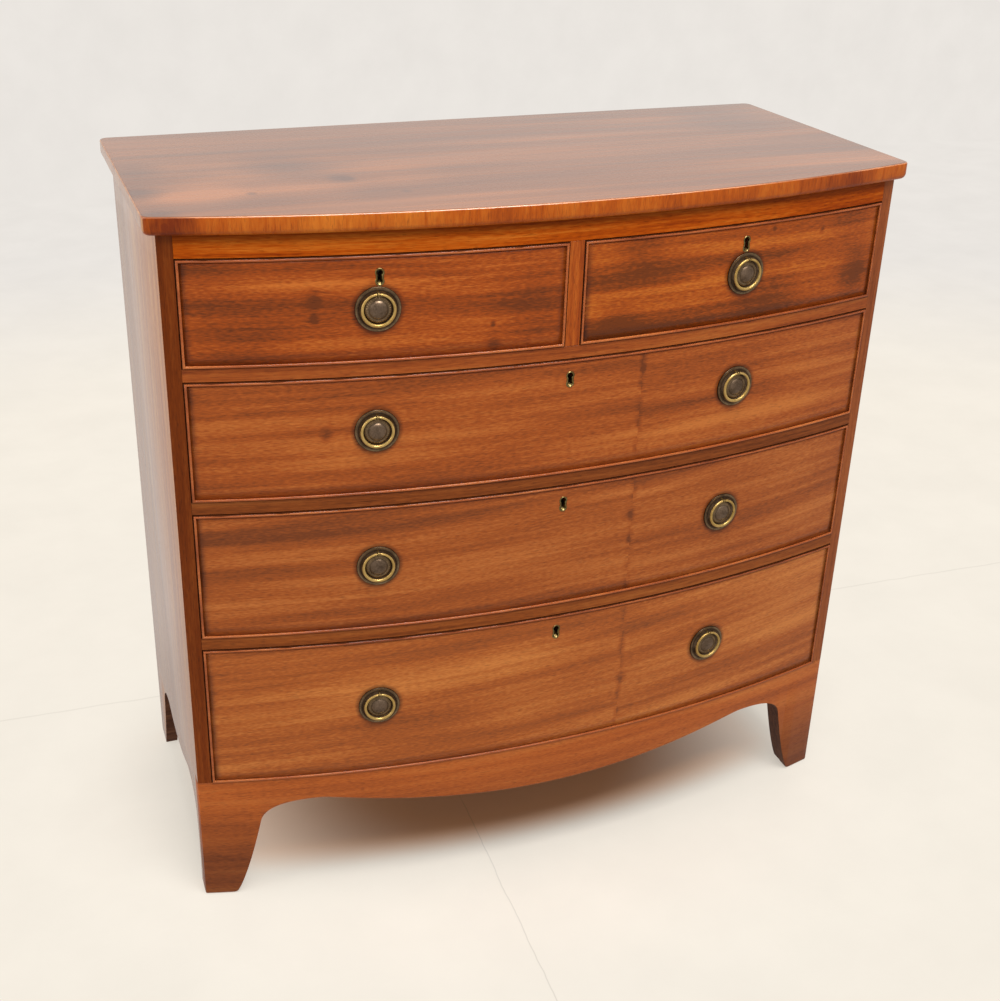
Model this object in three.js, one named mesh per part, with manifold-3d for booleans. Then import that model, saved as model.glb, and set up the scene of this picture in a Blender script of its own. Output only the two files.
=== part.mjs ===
// Bow front chest of drawers: two short drawers over three long ones, on shaped bracket feet.
// Millimetres. X runs to the right, Y to the back and Z up. The front faces -Y.
import * as THREE from "three";
import { mergeVertices } from "three/addons/utils/BufferGeometryUtils.js";
import Module from "manifold-3d";

const wasm = await Module();
wasm.setup();

// Case: width over the side boards, depth along a side board, and how far the bow stands forward
const CASE_WIDTH = 1030;
const CASE_DEPTH = 431;
const BOW_RISE = 68;
const SIDE_THICKNESS = 19;
const BASE_HEIGHT = 204.6;

// Drawer openings and the rails between them, from the bottom up
const LOWER_OPENING = 224;
const MIDDLE_OPENING = 188.5;
const UPPER_OPENING = 166.6;
const SHORT_OPENING = 140.6;
const RAIL_HEIGHT = 17.6;
const TOP_RAIL_HEIGHT = 29.8;
const PARTITION_THICKNESS = 20;

// Boards inside the case
const RAIL_BACK = 52;
const DUSTBOARD_THICKNESS = 9;
const BOTTOM_BOARD_THICKNESS = 16;
const BACK_THICKNESS = 8;
const BACK_REBATE = 9;
const HOUSING_DEPTH = 7;
const HOUSING_START = 16;
const STOP_WIDTH = 44;
const STOP_DEPTH = 16;
const STOP_HEIGHT = 5;
const STOP_PLACE_SHARE = 0.32;

// Top board, with a tight rounding above and a wide one below
const TOP_THICKNESS = 24;
const TOP_SIDE_OVERHANG = 15;
const TOP_FRONT_OVERHANG = 12;
const TOP_BACK_OVERHANG = 2;
const TOP_CORNER_RADIUS = 12;
const TOP_UPPER_ROUND = 3.5;
const TOP_LOWER_ROUND = 8;

// Base: the apron's thickness, the feet and the blocks glued behind the front feet.
// A foot is given from its corner inwards: its width on the floor, the bend of its inner edge,
// the neck where the arch begins, and the arch's peak.
const APRON_THICKNESS = 20;
const FRONT_FOOT = {
  width: 45, bendIn: 63, bendHeight: 35, neckIn: 84, neckHeight: 131, peakIn: 170, peakHeight: 165.5,
};
const SIDE_FRONT_FOOT = {
  width: 36, bendIn: 27, bendHeight: 60, neckIn: 38, neckHeight: 120, peakIn: 100, peakHeight: 160,
};
const SIDE_REAR_FOOT = {
  width: 43, bendIn: 62, bendHeight: 35, neckIn: 80, neckHeight: 112, peakIn: 145, peakHeight: 150,
};
const FRONT_ARCH_MIDDLE = 131;
const SIDE_ARCH_MIDDLE = 139;
const SIDE_ARCH_MIDDLE_SHARE = 0.49;
const SWOOP_START_SHARE = 0.072;
const SWOOP_END_SHARE = 0.45;
const BLOCK_WIDTH = 32;
const BLOCK_BOTTOM = 118;

// Drawers
const FRONT_THICKNESS = 22;
const FRONT_GAP = 1;
const DRAWER_SIDE_THICKNESS = 10;
const DRAWER_BACK_THICKNESS = 10;
const DRAWER_BOTTOM_THICKNESS = 6;
const DRAWER_BOTTOM_RISE = 9;
const DRAWER_SIDE_HEADROOM = 4;
const DRAWER_BACK_DROP = 6;
const DRAWER_REAR_SPACE = 20;
const GROOVE_DEPTH = 4;
const BEAD_WIDTH = 3;
const BEAD_PROUD = 2;
const BEAD_SHOULDER_SHARE = 0.6;
const BEAD_FLAT_SHARE = 0.28;

// Dovetails: a lap of wood hides the front ones
const TAIL_PITCH = 44;
const TAIL_TIP_SHARE = 0.76;
const TAIL_ROOT_SHARE = 0.56;
const FRONT_LAP = 8;

// Keyhole and lock, placed below the drawer's top edge. In a short drawer they and the pull stand a
// little outwards of its middle.
const KEYHOLE_DROP = 28.5;
const SHORT_KEYHOLE_OUTWARD = 2;
const ESCUTCHEON_TOP_RADIUS = 4.7;
const ESCUTCHEON_WAIST = 3.7;
const ESCUTCHEON_FOOT_RADIUS = 4.9;
const ESCUTCHEON_HEIGHT = 20.4;
const ESCUTCHEON_WALL = 1.2;
const ESCUTCHEON_DEPTH = 3;
const LOCK_PLATE_WIDTH = 62;
const LOCK_PLATE_THICKNESS = 1.6;
const LOCK_BODY_WIDTH = 50;
const LOCK_BODY_DEPTH = 10;
const LOCK_BELOW_KEYHOLE = 18;
const SELVEDGE_DEPTH = 12;
const SELVEDGE_THICKNESS = 2;
const BOLT_WIDTH = 22;
const BOLT_DEPTH = 5;
const BOLT_SUNK = 1;
const BOLT_TRAVEL = 7;
const KEY_PIN_RADIUS = 1.5;

// Ring pulls. Each lift is the height over the middle of the drawer.
const LONG_PULL_SPREAD = 520;
const SHORT_PULL_OUTWARD = 4.5;
const LOWER_PULL_LIFT = 2;
const MIDDLE_PULL_LIFT = 4;
const UPPER_PULL_LIFT = 7.5;
const RING_DIAMETER = 45;
const RING_BAR = 4.3;
const RING_CLEARANCE = 2.4;
const BOSS_CLEARANCE = 0.9;
const BOSS_HEIGHT = 8.6;
const PLATE_FLOOR = 1.6;
const PLATE_CHANNEL = 1.6;
const RIM_WIDTH = 4.8;
const RIM_HEIGHT = 3.2;
const RIM_SHARES = [[1, 0.5], [0.7, 1], [0.35, 0.85]];
const BOSS_SHARES = [[1, 0.51], [0.92, 0.61], [0.7, 0.54], [0.5, 0.87], [0.25, 0.97]];
const POST_WIDTH = 4.2;
const POST_HEIGHT = 4.8;
const PIVOT_PIN_RADIUS = 1.1;
const PIVOT_PIN_BITE = 1.5;
const PULL_BOLT_RADIUS = 2.5;
const NUT_RADIUS = 6.5;
const NUT_THICKNESS = 4;

// Clearances: glued joints, what runs or turns, and how far a cut passes beyond its piece
const JOINT_GAP = 0.3;
const RUNNING_GAP = 0.35;
const OVERRUN = 6;

// Facets
const BOW_SEGMENTS = 14;
const CURVE_SEGMENTS = 5;
const EDGE_SEGMENTS = 3;
const KEYHOLE_SEGMENTS = 2;
const PLATE_SEGMENTS = 16;
const RING_SEGMENTS = 16;
const SMALL_ROUND_SEGMENTS = 8;
const NUT_SIDES = 6;

// Levels and the bow's circle, worked out from the sizes above
const lowerTop = BASE_HEIGHT + LOWER_OPENING;
const middleFloor = lowerTop + RAIL_HEIGHT;
const middleTop = middleFloor + MIDDLE_OPENING;
const upperFloor = middleTop + RAIL_HEIGHT;
const upperTop = upperFloor + UPPER_OPENING;
const shortFloor = upperTop + RAIL_HEIGHT;
const shortTop = shortFloor + SHORT_OPENING;
const caseHeight = shortTop + TOP_RAIL_HEIGHT;
const halfWidth = CASE_WIDTH / 2;
const halfInner = halfWidth - SIDE_THICKNESS;
const innerBack = CASE_DEPTH - BACK_THICKNESS - JOINT_GAP;
const bowRadius = (halfWidth ** 2 + BOW_RISE ** 2) / (2 * BOW_RISE);
const bowCentreY = bowRadius - BOW_RISE;
const bowHalfAngle = Math.asin((halfWidth + TOP_SIDE_OVERHANG + OVERRUN) / bowRadius);
const foremost = -BOW_RISE - TOP_FRONT_OVERHANG - OVERRUN;

const material = (color, roughness, metalness) =>
  new THREE.MeshStandardMaterial({ color, roughness, metalness, flatShading: true });
const MAHOGANY = material("#9a5428", 0.35, 0);
const MAHOGANY_RAIL = material("#a8602e", 0.35, 0);
const MAHOGANY_DARK = material("#7d4422", 0.35, 0);
const PINE = material("#b08a5c", 0.7, 0);
const OAK = material("#a3825a", 0.65, 0);
const OLD_BRASS = material("#5d5138", 0.4, 1);
const BRASS = material("#c9a55a", 0.25, 1);
const LOCK_STEEL = material("#6f6a60", 0.45, 1);

// A closed geometry as a solid that can be joined and cut
function toSolid(geometry) {
  geometry.deleteAttribute("normal");
  geometry.deleteAttribute("uv");
  const merged = mergeVertices(geometry);
  return new wasm.Manifold(
    new wasm.Mesh({
      numProp: 3,
      vertProperties: merged.attributes.position.array,
      triVerts: Uint32Array.from(merged.index.array),
    }),
  );
}

function toMesh(name, solid, look) {
  const { vertProperties, triVerts } = solid.getMesh();
  const geometry = new THREE.BufferGeometry();
  geometry.setAttribute("position", new THREE.BufferAttribute(vertProperties, 3));
  geometry.setIndex(new THREE.BufferAttribute(triVerts, 1));
  geometry.computeVertexNormals();
  const mesh = new THREE.Mesh(geometry, look);
  mesh.name = name;
  return mesh;
}

// A block between two corners, in the frame that the matrix gives
function block(x0, x1, y0, y1, z0, z1, frame) {
  const geometry = new THREE.BoxGeometry(x1 - x0, y1 - y0, z1 - z0);
  geometry.translate((x0 + x1) / 2, (y0 + y1) / 2, (z0 + z1) / 2);
  return toSolid(frame ? geometry.applyMatrix4(frame) : geometry);
}

// A shape drawn in X and Z, pushed along Y from y0 to y1
function frontPrism(shape, y0, y1, frame) {
  const geometry = new THREE.ExtrudeGeometry(shape, {
    depth: y1 - y0,
    curveSegments: KEYHOLE_SEGMENTS,
    bevelEnabled: false,
  });
  geometry.rotateX(Math.PI / 2).translate(0, y1, 0);
  return toSolid(frame ? geometry.applyMatrix4(frame) : geometry);
}

// A shape drawn in Y and Z, pushed along X from x0 to x1
function sidePrism(shape, x0, x1) {
  const geometry = new THREE.ExtrudeGeometry(shape, { depth: x1 - x0, bevelEnabled: false });
  const turn = new THREE.Matrix4().makeBasis(
    new THREE.Vector3(0, 1, 0),
    new THREE.Vector3(0, 0, 1),
    new THREE.Vector3(1, 0, 0),
  );
  return toSolid(geometry.applyMatrix4(turn).translate(x0, 0, 0));
}

// A shape drawn in X and Y, pushed up from z0 to z1
function planPrism(shape, z0, z1) {
  const geometry = new THREE.ExtrudeGeometry(shape, { depth: z1 - z0, bevelEnabled: false });
  return toSolid(geometry.translate(0, 0, z0));
}

// A cylinder whose axis runs along X or Y
function rod(axis, radius, from, to, across, height, segments, frame) {
  const geometry = new THREE.CylinderGeometry(radius, radius, to - from, segments);
  if (axis === "x") geometry.rotateZ(Math.PI / 2).translate((from + to) / 2, across, height);
  else geometry.translate(across, (from + to) / 2, height);
  return toSolid(frame ? geometry.applyMatrix4(frame) : geometry);
}

// Rings of points skinned into a closed surface. Each ring runs anticlockwise when seen from
// the next one's side, and the section is the ring's outline in its own plane.
function skin(rings, section) {
  const count = section.length;
  const at = (ring, point) => ring * count + (point % count);
  const index = [];
  for (let ring = 0; ring < rings.length - 1; ring++) {
    for (let point = 0; point < count; point++) {
      index.push(at(ring, point), at(ring, point + 1), at(ring + 1, point + 1));
      index.push(at(ring, point), at(ring + 1, point + 1), at(ring + 1, point));
    }
  }
  for (const [a, b, c] of THREE.ShapeUtils.triangulateShape(section, [])) {
    index.push(at(0, c), at(0, b), at(0, a));
    index.push(at(rings.length - 1, a), at(rings.length - 1, b), at(rings.length - 1, c));
  }
  const geometry = new THREE.BufferGeometry().setFromPoints(rings.flat());
  geometry.setIndex(index);
  return toSolid(geometry);
}

// A point on the bow's circle, moved back into the case by the inset
const bowPoint = (angle, inset) => [
  (bowRadius - inset) * Math.sin(angle),
  bowCentreY - (bowRadius - inset) * Math.cos(angle),
];
const bowY = (x, inset) => bowCentreY - Math.sqrt((bowRadius - inset) ** 2 - x ** 2);
const bowAngle = (x) => Math.asin(x / bowRadius);

// A section of insets and heights, anticlockwise, swept along the whole bow
function bowSweep(section) {
  const rings = [];
  for (let step = 0; step <= BOW_SEGMENTS; step++) {
    const angle = bowHalfAngle * ((2 * step) / BOW_SEGMENTS - 1);
    rings.push(
      section.map(([inset, z]) => {
        const [x, y] = bowPoint(angle, inset);
        return new THREE.Vector3(x, y, z);
      }),
    );
  }
  return skin(rings, section.map(([inset, z]) => new THREE.Vector2(inset, z)));
}

// A bowed board with a plain section, between two places along X
function bowBoard(x0, x1, inset0, inset1, z0, z1) {
  const board = bowSweep([[inset0, z0], [inset1, z0], [inset1, z1], [inset0, z1]]);
  return board.intersect(block(x0, x1, foremost, CASE_DEPTH, z0 - OVERRUN, z1 + OVERRUN));
}

// Cuts a solid back to the bow, moved into the case by the inset, between two heights
function trimToBow(solid, inset, z0, z1) {
  const outer = foremost - OVERRUN;
  return solid.subtract(bowSweep([[outer, z0], [inset, z0], [inset, z1], [outer, z1]]));
}

// A frame standing on the bow's face at a place along X: its -Y points out of the front
function bowFrame(x, z) {
  const angle = bowAngle(x);
  return new THREE.Matrix4().makeRotationZ(angle).setPosition(x, bowY(x, 0), z);
}

// Half of an arched lower edge, from the foot's inner corner to the arch's middle, as points
// given by their distance from the foot's corner and their height
function archHalf(foot, middleIn, middleHeight) {
  const point = (along, height) => new THREE.Vector2(along, height);
  const neck = point(foot.neckIn, foot.neckHeight);
  const peak = point(foot.peakIn, foot.peakHeight);
  const lean = (foot.neckIn - foot.bendIn) / (foot.neckHeight - foot.bendHeight);
  const reach = middleIn - foot.peakIn;
  const inner = new THREE.QuadraticBezierCurve(
    point(foot.width, 0), point(foot.bendIn, foot.bendHeight), neck,
  );
  const shoulder = new THREE.QuadraticBezierCurve(
    neck, point(foot.neckIn + lean * (foot.peakHeight - foot.neckHeight), foot.peakHeight), peak,
  );
  const swoop = new THREE.CubicBezierCurve(
    peak,
    point(foot.peakIn + SWOOP_START_SHARE * reach, foot.peakHeight),
    point(foot.peakIn + SWOOP_END_SHARE * reach, middleHeight),
    point(middleIn, middleHeight),
  );
  return [
    ...inner.getPoints(CURVE_SEGMENTS),
    ...shoulder.getPoints(CURVE_SEGMENTS).slice(1),
    ...swoop.getPoints(2 * CURVE_SEGMENTS).slice(1),
  ];
}

// The space under an arch, closed below the floor
function archShape(start, startFoot, end, endFoot, middle, middleHeight) {
  const rise = archHalf(startFoot, middle - start, middleHeight).map((p) => [start + p.x, p.y]);
  const fall = archHalf(endFoot, end - middle, middleHeight).map((p) => [end - p.x, p.y]);
  const edge = [...rise, ...fall.reverse().slice(1)];
  const below = [[edge.at(-1)[0], -OVERRUN], [edge[0][0], -OVERRUN]];
  return new THREE.Shape([...edge, ...below].map(([u, v]) => new THREE.Vector2(u, v)));
}

// The top board's outline, drawn in by the given amount all round
function topOutline(drawnIn) {
  const radius = bowRadius + TOP_FRONT_OVERHANG - drawnIn;
  const side = halfWidth + TOP_SIDE_OVERHANG - drawnIn;
  const back = CASE_DEPTH + TOP_BACK_OVERHANG;
  const corner = TOP_CORNER_RADIUS - drawnIn;
  const centreX = side - corner;
  const reach = Math.sqrt((radius - corner) ** 2 - centreX ** 2);
  const centreY = bowCentreY - reach;
  const frontAngle = Math.atan2(centreX, reach);
  const points = [];
  for (let step = 0; step <= BOW_SEGMENTS; step++) {
    const angle = frontAngle * ((2 * step) / BOW_SEGMENTS - 1);
    points.push([radius * Math.sin(angle), bowCentreY - radius * Math.cos(angle)]);
  }
  const turn = Math.PI / 2 - frontAngle;
  for (let step = 1; step <= CURVE_SEGMENTS; step++) {
    const angle = frontAngle + (turn * step) / CURVE_SEGMENTS;
    points.push([centreX + corner * Math.sin(angle), centreY - corner * Math.cos(angle)]);
  }
  points.push([side, back], [-side, back]);
  for (let step = CURVE_SEGMENTS; step >= 1; step--) {
    const angle = frontAngle + (turn * step) / CURVE_SEGMENTS;
    points.push([-centreX - corner * Math.sin(angle), centreY - corner * Math.cos(angle)]);
  }
  return points;
}

function makeTop() {
  const rounding = (radius, base, up) =>
    Array.from({ length: EDGE_SEGMENTS + 1 }, (_, step) => {
      const angle = (Math.PI / 2) * (step / EDGE_SEGMENTS);
      return [radius * (1 - Math.sin(angle)), base + up * radius * (1 - Math.cos(angle))];
    });
  const levels = [
    ...rounding(TOP_LOWER_ROUND, caseHeight, 1),
    ...rounding(TOP_UPPER_ROUND, caseHeight + TOP_THICKNESS, -1).reverse(),
  ];
  const rings = levels.map(([drawnIn, z]) =>
    topOutline(drawnIn).map(([x, y]) => new THREE.Vector3(x, y, z)));
  return skin(rings, topOutline(0).map(([x, y]) => new THREE.Vector2(x, y)));
}

// The tongues of a rail and its board, which sit in housings in both side boards
function tongues(shelf, reach, gap) {
  const rail = block(
    -reach, reach, HOUSING_START - gap, RAIL_BACK + gap, shelf.z0 - gap, shelf.z1 + gap,
  );
  const board = block(
    -reach, reach, RAIL_BACK - OVERRUN, innerBack, shelf.boardZ0 - gap, shelf.boardZ1 + gap,
  );
  return rail.add(board);
}

// A bowed rail with the board behind it, and the stops for the drawers that stand on it
function makeShelf(shelf) {
  const width = halfInner - JOINT_GAP;
  const rail = block(-width, width, foremost, RAIL_BACK, shelf.z0, shelf.z1);
  const board = tongues(shelf, halfInner + HOUSING_DEPTH - JOINT_GAP, 0);
  let solid = trimToBow(rail.add(board), shelf.inset, shelf.z0 - OVERRUN, shelf.z1 + OVERRUN);
  for (const x of shelf.stops) {
    const stopFront = FRONT_THICKNESS + JOINT_GAP;
    const stop = bowBoard(
      x - STOP_WIDTH / 2, x + STOP_WIDTH / 2, stopFront, stopFront + STOP_DEPTH,
      shelf.z1 - STOP_HEIGHT, shelf.z1 + STOP_HEIGHT,
    );
    solid = solid.add(stop);
  }
  return solid;
}

function makeSideBoard(side, shelves) {
  const x0 = side < 0 ? -halfWidth : halfInner;
  const x1 = x0 + SIDE_THICKNESS;
  const board = new THREE.Shape([
    new THREE.Vector2(foremost, 0),
    new THREE.Vector2(CASE_DEPTH, 0),
    new THREE.Vector2(CASE_DEPTH, caseHeight),
    new THREE.Vector2(foremost, caseHeight),
  ]);
  const arch = archShape(
    0, SIDE_FRONT_FOOT, CASE_DEPTH, SIDE_REAR_FOOT,
    SIDE_ARCH_MIDDLE_SHARE * CASE_DEPTH, SIDE_ARCH_MIDDLE,
  );
  let solid = sidePrism(board, x0, x1).subtract(sidePrism(arch, x0 - OVERRUN, x1 + OVERRUN));
  solid = trimToBow(solid, 0, -OVERRUN, caseHeight + OVERRUN);
  solid = trimToBow(solid, APRON_THICKNESS + JOINT_GAP, -OVERRUN, BASE_HEIGHT + JOINT_GAP);
  for (const shelf of shelves) {
    solid = solid.subtract(tongues(shelf, halfInner + HOUSING_DEPTH, JOINT_GAP));
  }
  const rebate = block(
    -halfInner - BACK_REBATE, halfInner + BACK_REBATE, innerBack, CASE_DEPTH + OVERRUN,
    BASE_HEIGHT - BOTTOM_BOARD_THICKNESS - JOINT_GAP, caseHeight + OVERRUN,
  );
  return solid.subtract(rebate);
}

function makeApron() {
  const arch = archShape(-halfWidth, FRONT_FOOT, halfWidth, FRONT_FOOT, 0, FRONT_ARCH_MIDDLE);
  return bowBoard(-halfWidth, halfWidth, 0, APRON_THICKNESS, 0, BASE_HEIGHT)
    .subtract(frontPrism(arch, foremost, CASE_DEPTH));
}

function makeFootBlock(side) {
  const x0 = side < 0 ? JOINT_GAP - halfInner : halfInner - JOINT_GAP - BLOCK_WIDTH;
  const back = bowY(halfInner, APRON_THICKNESS) + BLOCK_WIDTH;
  const top = BASE_HEIGHT - BOTTOM_BOARD_THICKNESS - JOINT_GAP;
  const solid = block(x0, x0 + BLOCK_WIDTH, foremost, back, BLOCK_BOTTOM, top);
  return trimToBow(solid, APRON_THICKNESS + JOINT_GAP, BLOCK_BOTTOM - OVERRUN, top + OVERRUN);
}

function makePartition() {
  const half = PARTITION_THICKNESS / 2;
  const solid = block(-half, half, foremost, innerBack, shortFloor, shortTop);
  return trimToBow(solid, 0, shortFloor - OVERRUN, shortTop + OVERRUN);
}

function makeBackPanel() {
  const reach = halfInner + BACK_REBATE - JOINT_GAP;
  const z0 = BASE_HEIGHT - BOTTOM_BOARD_THICKNESS;
  return block(-reach, reach, CASE_DEPTH - BACK_THICKNESS, CASE_DEPTH, z0, caseHeight);
}

// Dovetail tails along a drawer side's end, wider at the tip than at the root. The root is
// carried on into the board by the overrun. A positive gap makes the sockets that they fit.
function tails(x0, x1, rootY, tipY, z0, z1, gap) {
  const count = Math.max(2, Math.round((z1 - z0) / TAIL_PITCH));
  const pitch = (z1 - z0) / count;
  const inward = Math.sign(rootY - tipY);
  const solids = [];
  for (let tail = 0; tail < count; tail++) {
    const middle = z0 + pitch * (tail + 1 / 2);
    const root = (pitch * TAIL_ROOT_SHARE) / 2 + gap;
    const tip = (pitch * TAIL_TIP_SHARE) / 2 + gap;
    const outline = [
      [rootY + inward * OVERRUN, middle - root],
      [rootY + inward * OVERRUN, middle + root],
      [rootY, middle + root],
      [tipY - inward * gap, middle + tip],
      [tipY - inward * gap, middle - tip],
      [rootY, middle - root],
    ];
    const shape = new THREE.Shape(outline.map(([y, z]) => new THREE.Vector2(y, z)));
    solids.push(sidePrism(shape, x0, x1));
  }
  return solids;
}

// The outline of a keyhole: a round head, a waist and a round foot, drawn in by the wall
function keyholeShape(wall) {
  const head = ESCUTCHEON_TOP_RADIUS - wall;
  const foot = ESCUTCHEON_FOOT_RADIUS - wall;
  const waist = ESCUTCHEON_WAIST - wall;
  const headZ = ESCUTCHEON_HEIGHT / 2 - ESCUTCHEON_TOP_RADIUS;
  const footZ = ESCUTCHEON_FOOT_RADIUS - ESCUTCHEON_HEIGHT / 2;
  const headTurn = Math.acos(waist / head);
  const footTurn = Math.acos(waist / foot);
  const shape = new THREE.Shape();
  shape.absarc(0, headZ, head, -headTurn, Math.PI + headTurn, false);
  shape.absarc(0, footZ, foot, Math.PI - footTurn, 2 * Math.PI + footTurn, false);
  return shape;
}

// The lock's blocks, in a frame on the drawer's face at the keyhole's middle. The gap widens
// them into the mortise that holds them.
function lockBlocks(topZ, gap, frame) {
  const plate = LOCK_PLATE_WIDTH / 2 + gap;
  const body = LOCK_BODY_WIDTH / 2 + gap;
  const past = gap > 0 ? OVERRUN : 0;
  const back = FRONT_THICKNESS + past;
  const plateFront = FRONT_THICKNESS - LOCK_PLATE_THICKNESS - gap;
  const bodyFront = FRONT_THICKNESS - LOCK_PLATE_THICKNESS - LOCK_BODY_DEPTH - gap;
  const low = -LOCK_BELOW_KEYHOLE - gap;
  const selvedgeTop = topZ + past;
  const selvedgeLow = topZ - SELVEDGE_THICKNESS - gap;
  return block(-plate, plate, plateFront, back, low, topZ, frame)
    .add(block(-body, body, bodyFront, back, low, topZ, frame))
    .add(block(
      -plate, plate, FRONT_THICKNESS - SELVEDGE_DEPTH - gap, back, selvedgeLow, selvedgeTop, frame,
    ));
}

function makeLock(topZ) {
  const bodyFront = FRONT_THICKNESS - LOCK_PLATE_THICKNESS - LOCK_BODY_DEPTH;
  const boltMiddle = FRONT_THICKNESS - SELVEDGE_DEPTH / 2;
  const headZ = ESCUTCHEON_HEIGHT / 2 - ESCUTCHEON_TOP_RADIUS;
  const keyWay = frontPrism(
    keyholeShape(ESCUTCHEON_WALL), bodyFront - OVERRUN, bodyFront + LOCK_BODY_DEPTH / 2,
  );
  const slot = block(
    -BOLT_WIDTH / 2 - JOINT_GAP, BOLT_WIDTH / 2 + JOINT_GAP,
    boltMiddle - BOLT_DEPTH / 2 - JOINT_GAP, boltMiddle + BOLT_DEPTH / 2 + JOINT_GAP,
    topZ - BOLT_TRAVEL, topZ + OVERRUN,
  );
  const bolt = block(
    -BOLT_WIDTH / 2, BOLT_WIDTH / 2, boltMiddle - BOLT_DEPTH / 2, boltMiddle + BOLT_DEPTH / 2,
    topZ - 2 * BOLT_TRAVEL, topZ - BOLT_SUNK,
  );
  const keyPin = rod(
    "y", KEY_PIN_RADIUS, bodyFront, bodyFront + LOCK_BODY_DEPTH, 0, headZ, SMALL_ROUND_SEGMENTS,
  );
  return lockBlocks(topZ, 0).subtract(keyWay).subtract(slot).add(bolt).add(keyPin);
}

// A drawer front: the bowed board with a cockbead round its edge, before it is cut
function makeBeadedFront(x0, x1, z0, z1) {
  const shoulder = -BEAD_PROUD * BEAD_SHOULDER_SHARE;
  const flat = BEAD_WIDTH * BEAD_FLAT_SHARE;
  const bead = (low) => [
    [0, low + BEAD_WIDTH],
    [shoulder, low + BEAD_WIDTH],
    [-BEAD_PROUD, low + BEAD_WIDTH - flat],
    [-BEAD_PROUD, low + flat],
    [shoulder, low],
  ];
  const topBead = bead(z1 - BEAD_WIDTH);
  const inside = [[FRONT_THICKNESS, z0], [FRONT_THICKNESS, z1]];
  const face = [...inside, ...topBead.slice(1), [0, z1 - BEAD_WIDTH], ...bead(z0)];
  const envelope = [...inside, ...topBead.slice(1, 3), ...bead(z0).slice(3)];
  const upright = (x, inward) => {
    const column = (along, inset) => {
      const place = x + inward * along;
      return new THREE.Vector2(place, bowY(place, inset));
    };
    return planPrism(new THREE.Shape([
      column(0, BEAD_PROUD), column(0, shoulder), column(flat, -BEAD_PROUD),
      column(BEAD_WIDTH - flat, -BEAD_PROUD), column(BEAD_WIDTH, shoulder), column(BEAD_WIDTH, BEAD_PROUD),
    ]), z0, z1);
  };
  const ends = bowSweep(envelope).intersect(upright(x0, 1).add(upright(x1, -1)));
  return bowSweep(face).intersect(block(x0, x1, foremost, CASE_DEPTH, z0, z1)).add(ends);
}

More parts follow.
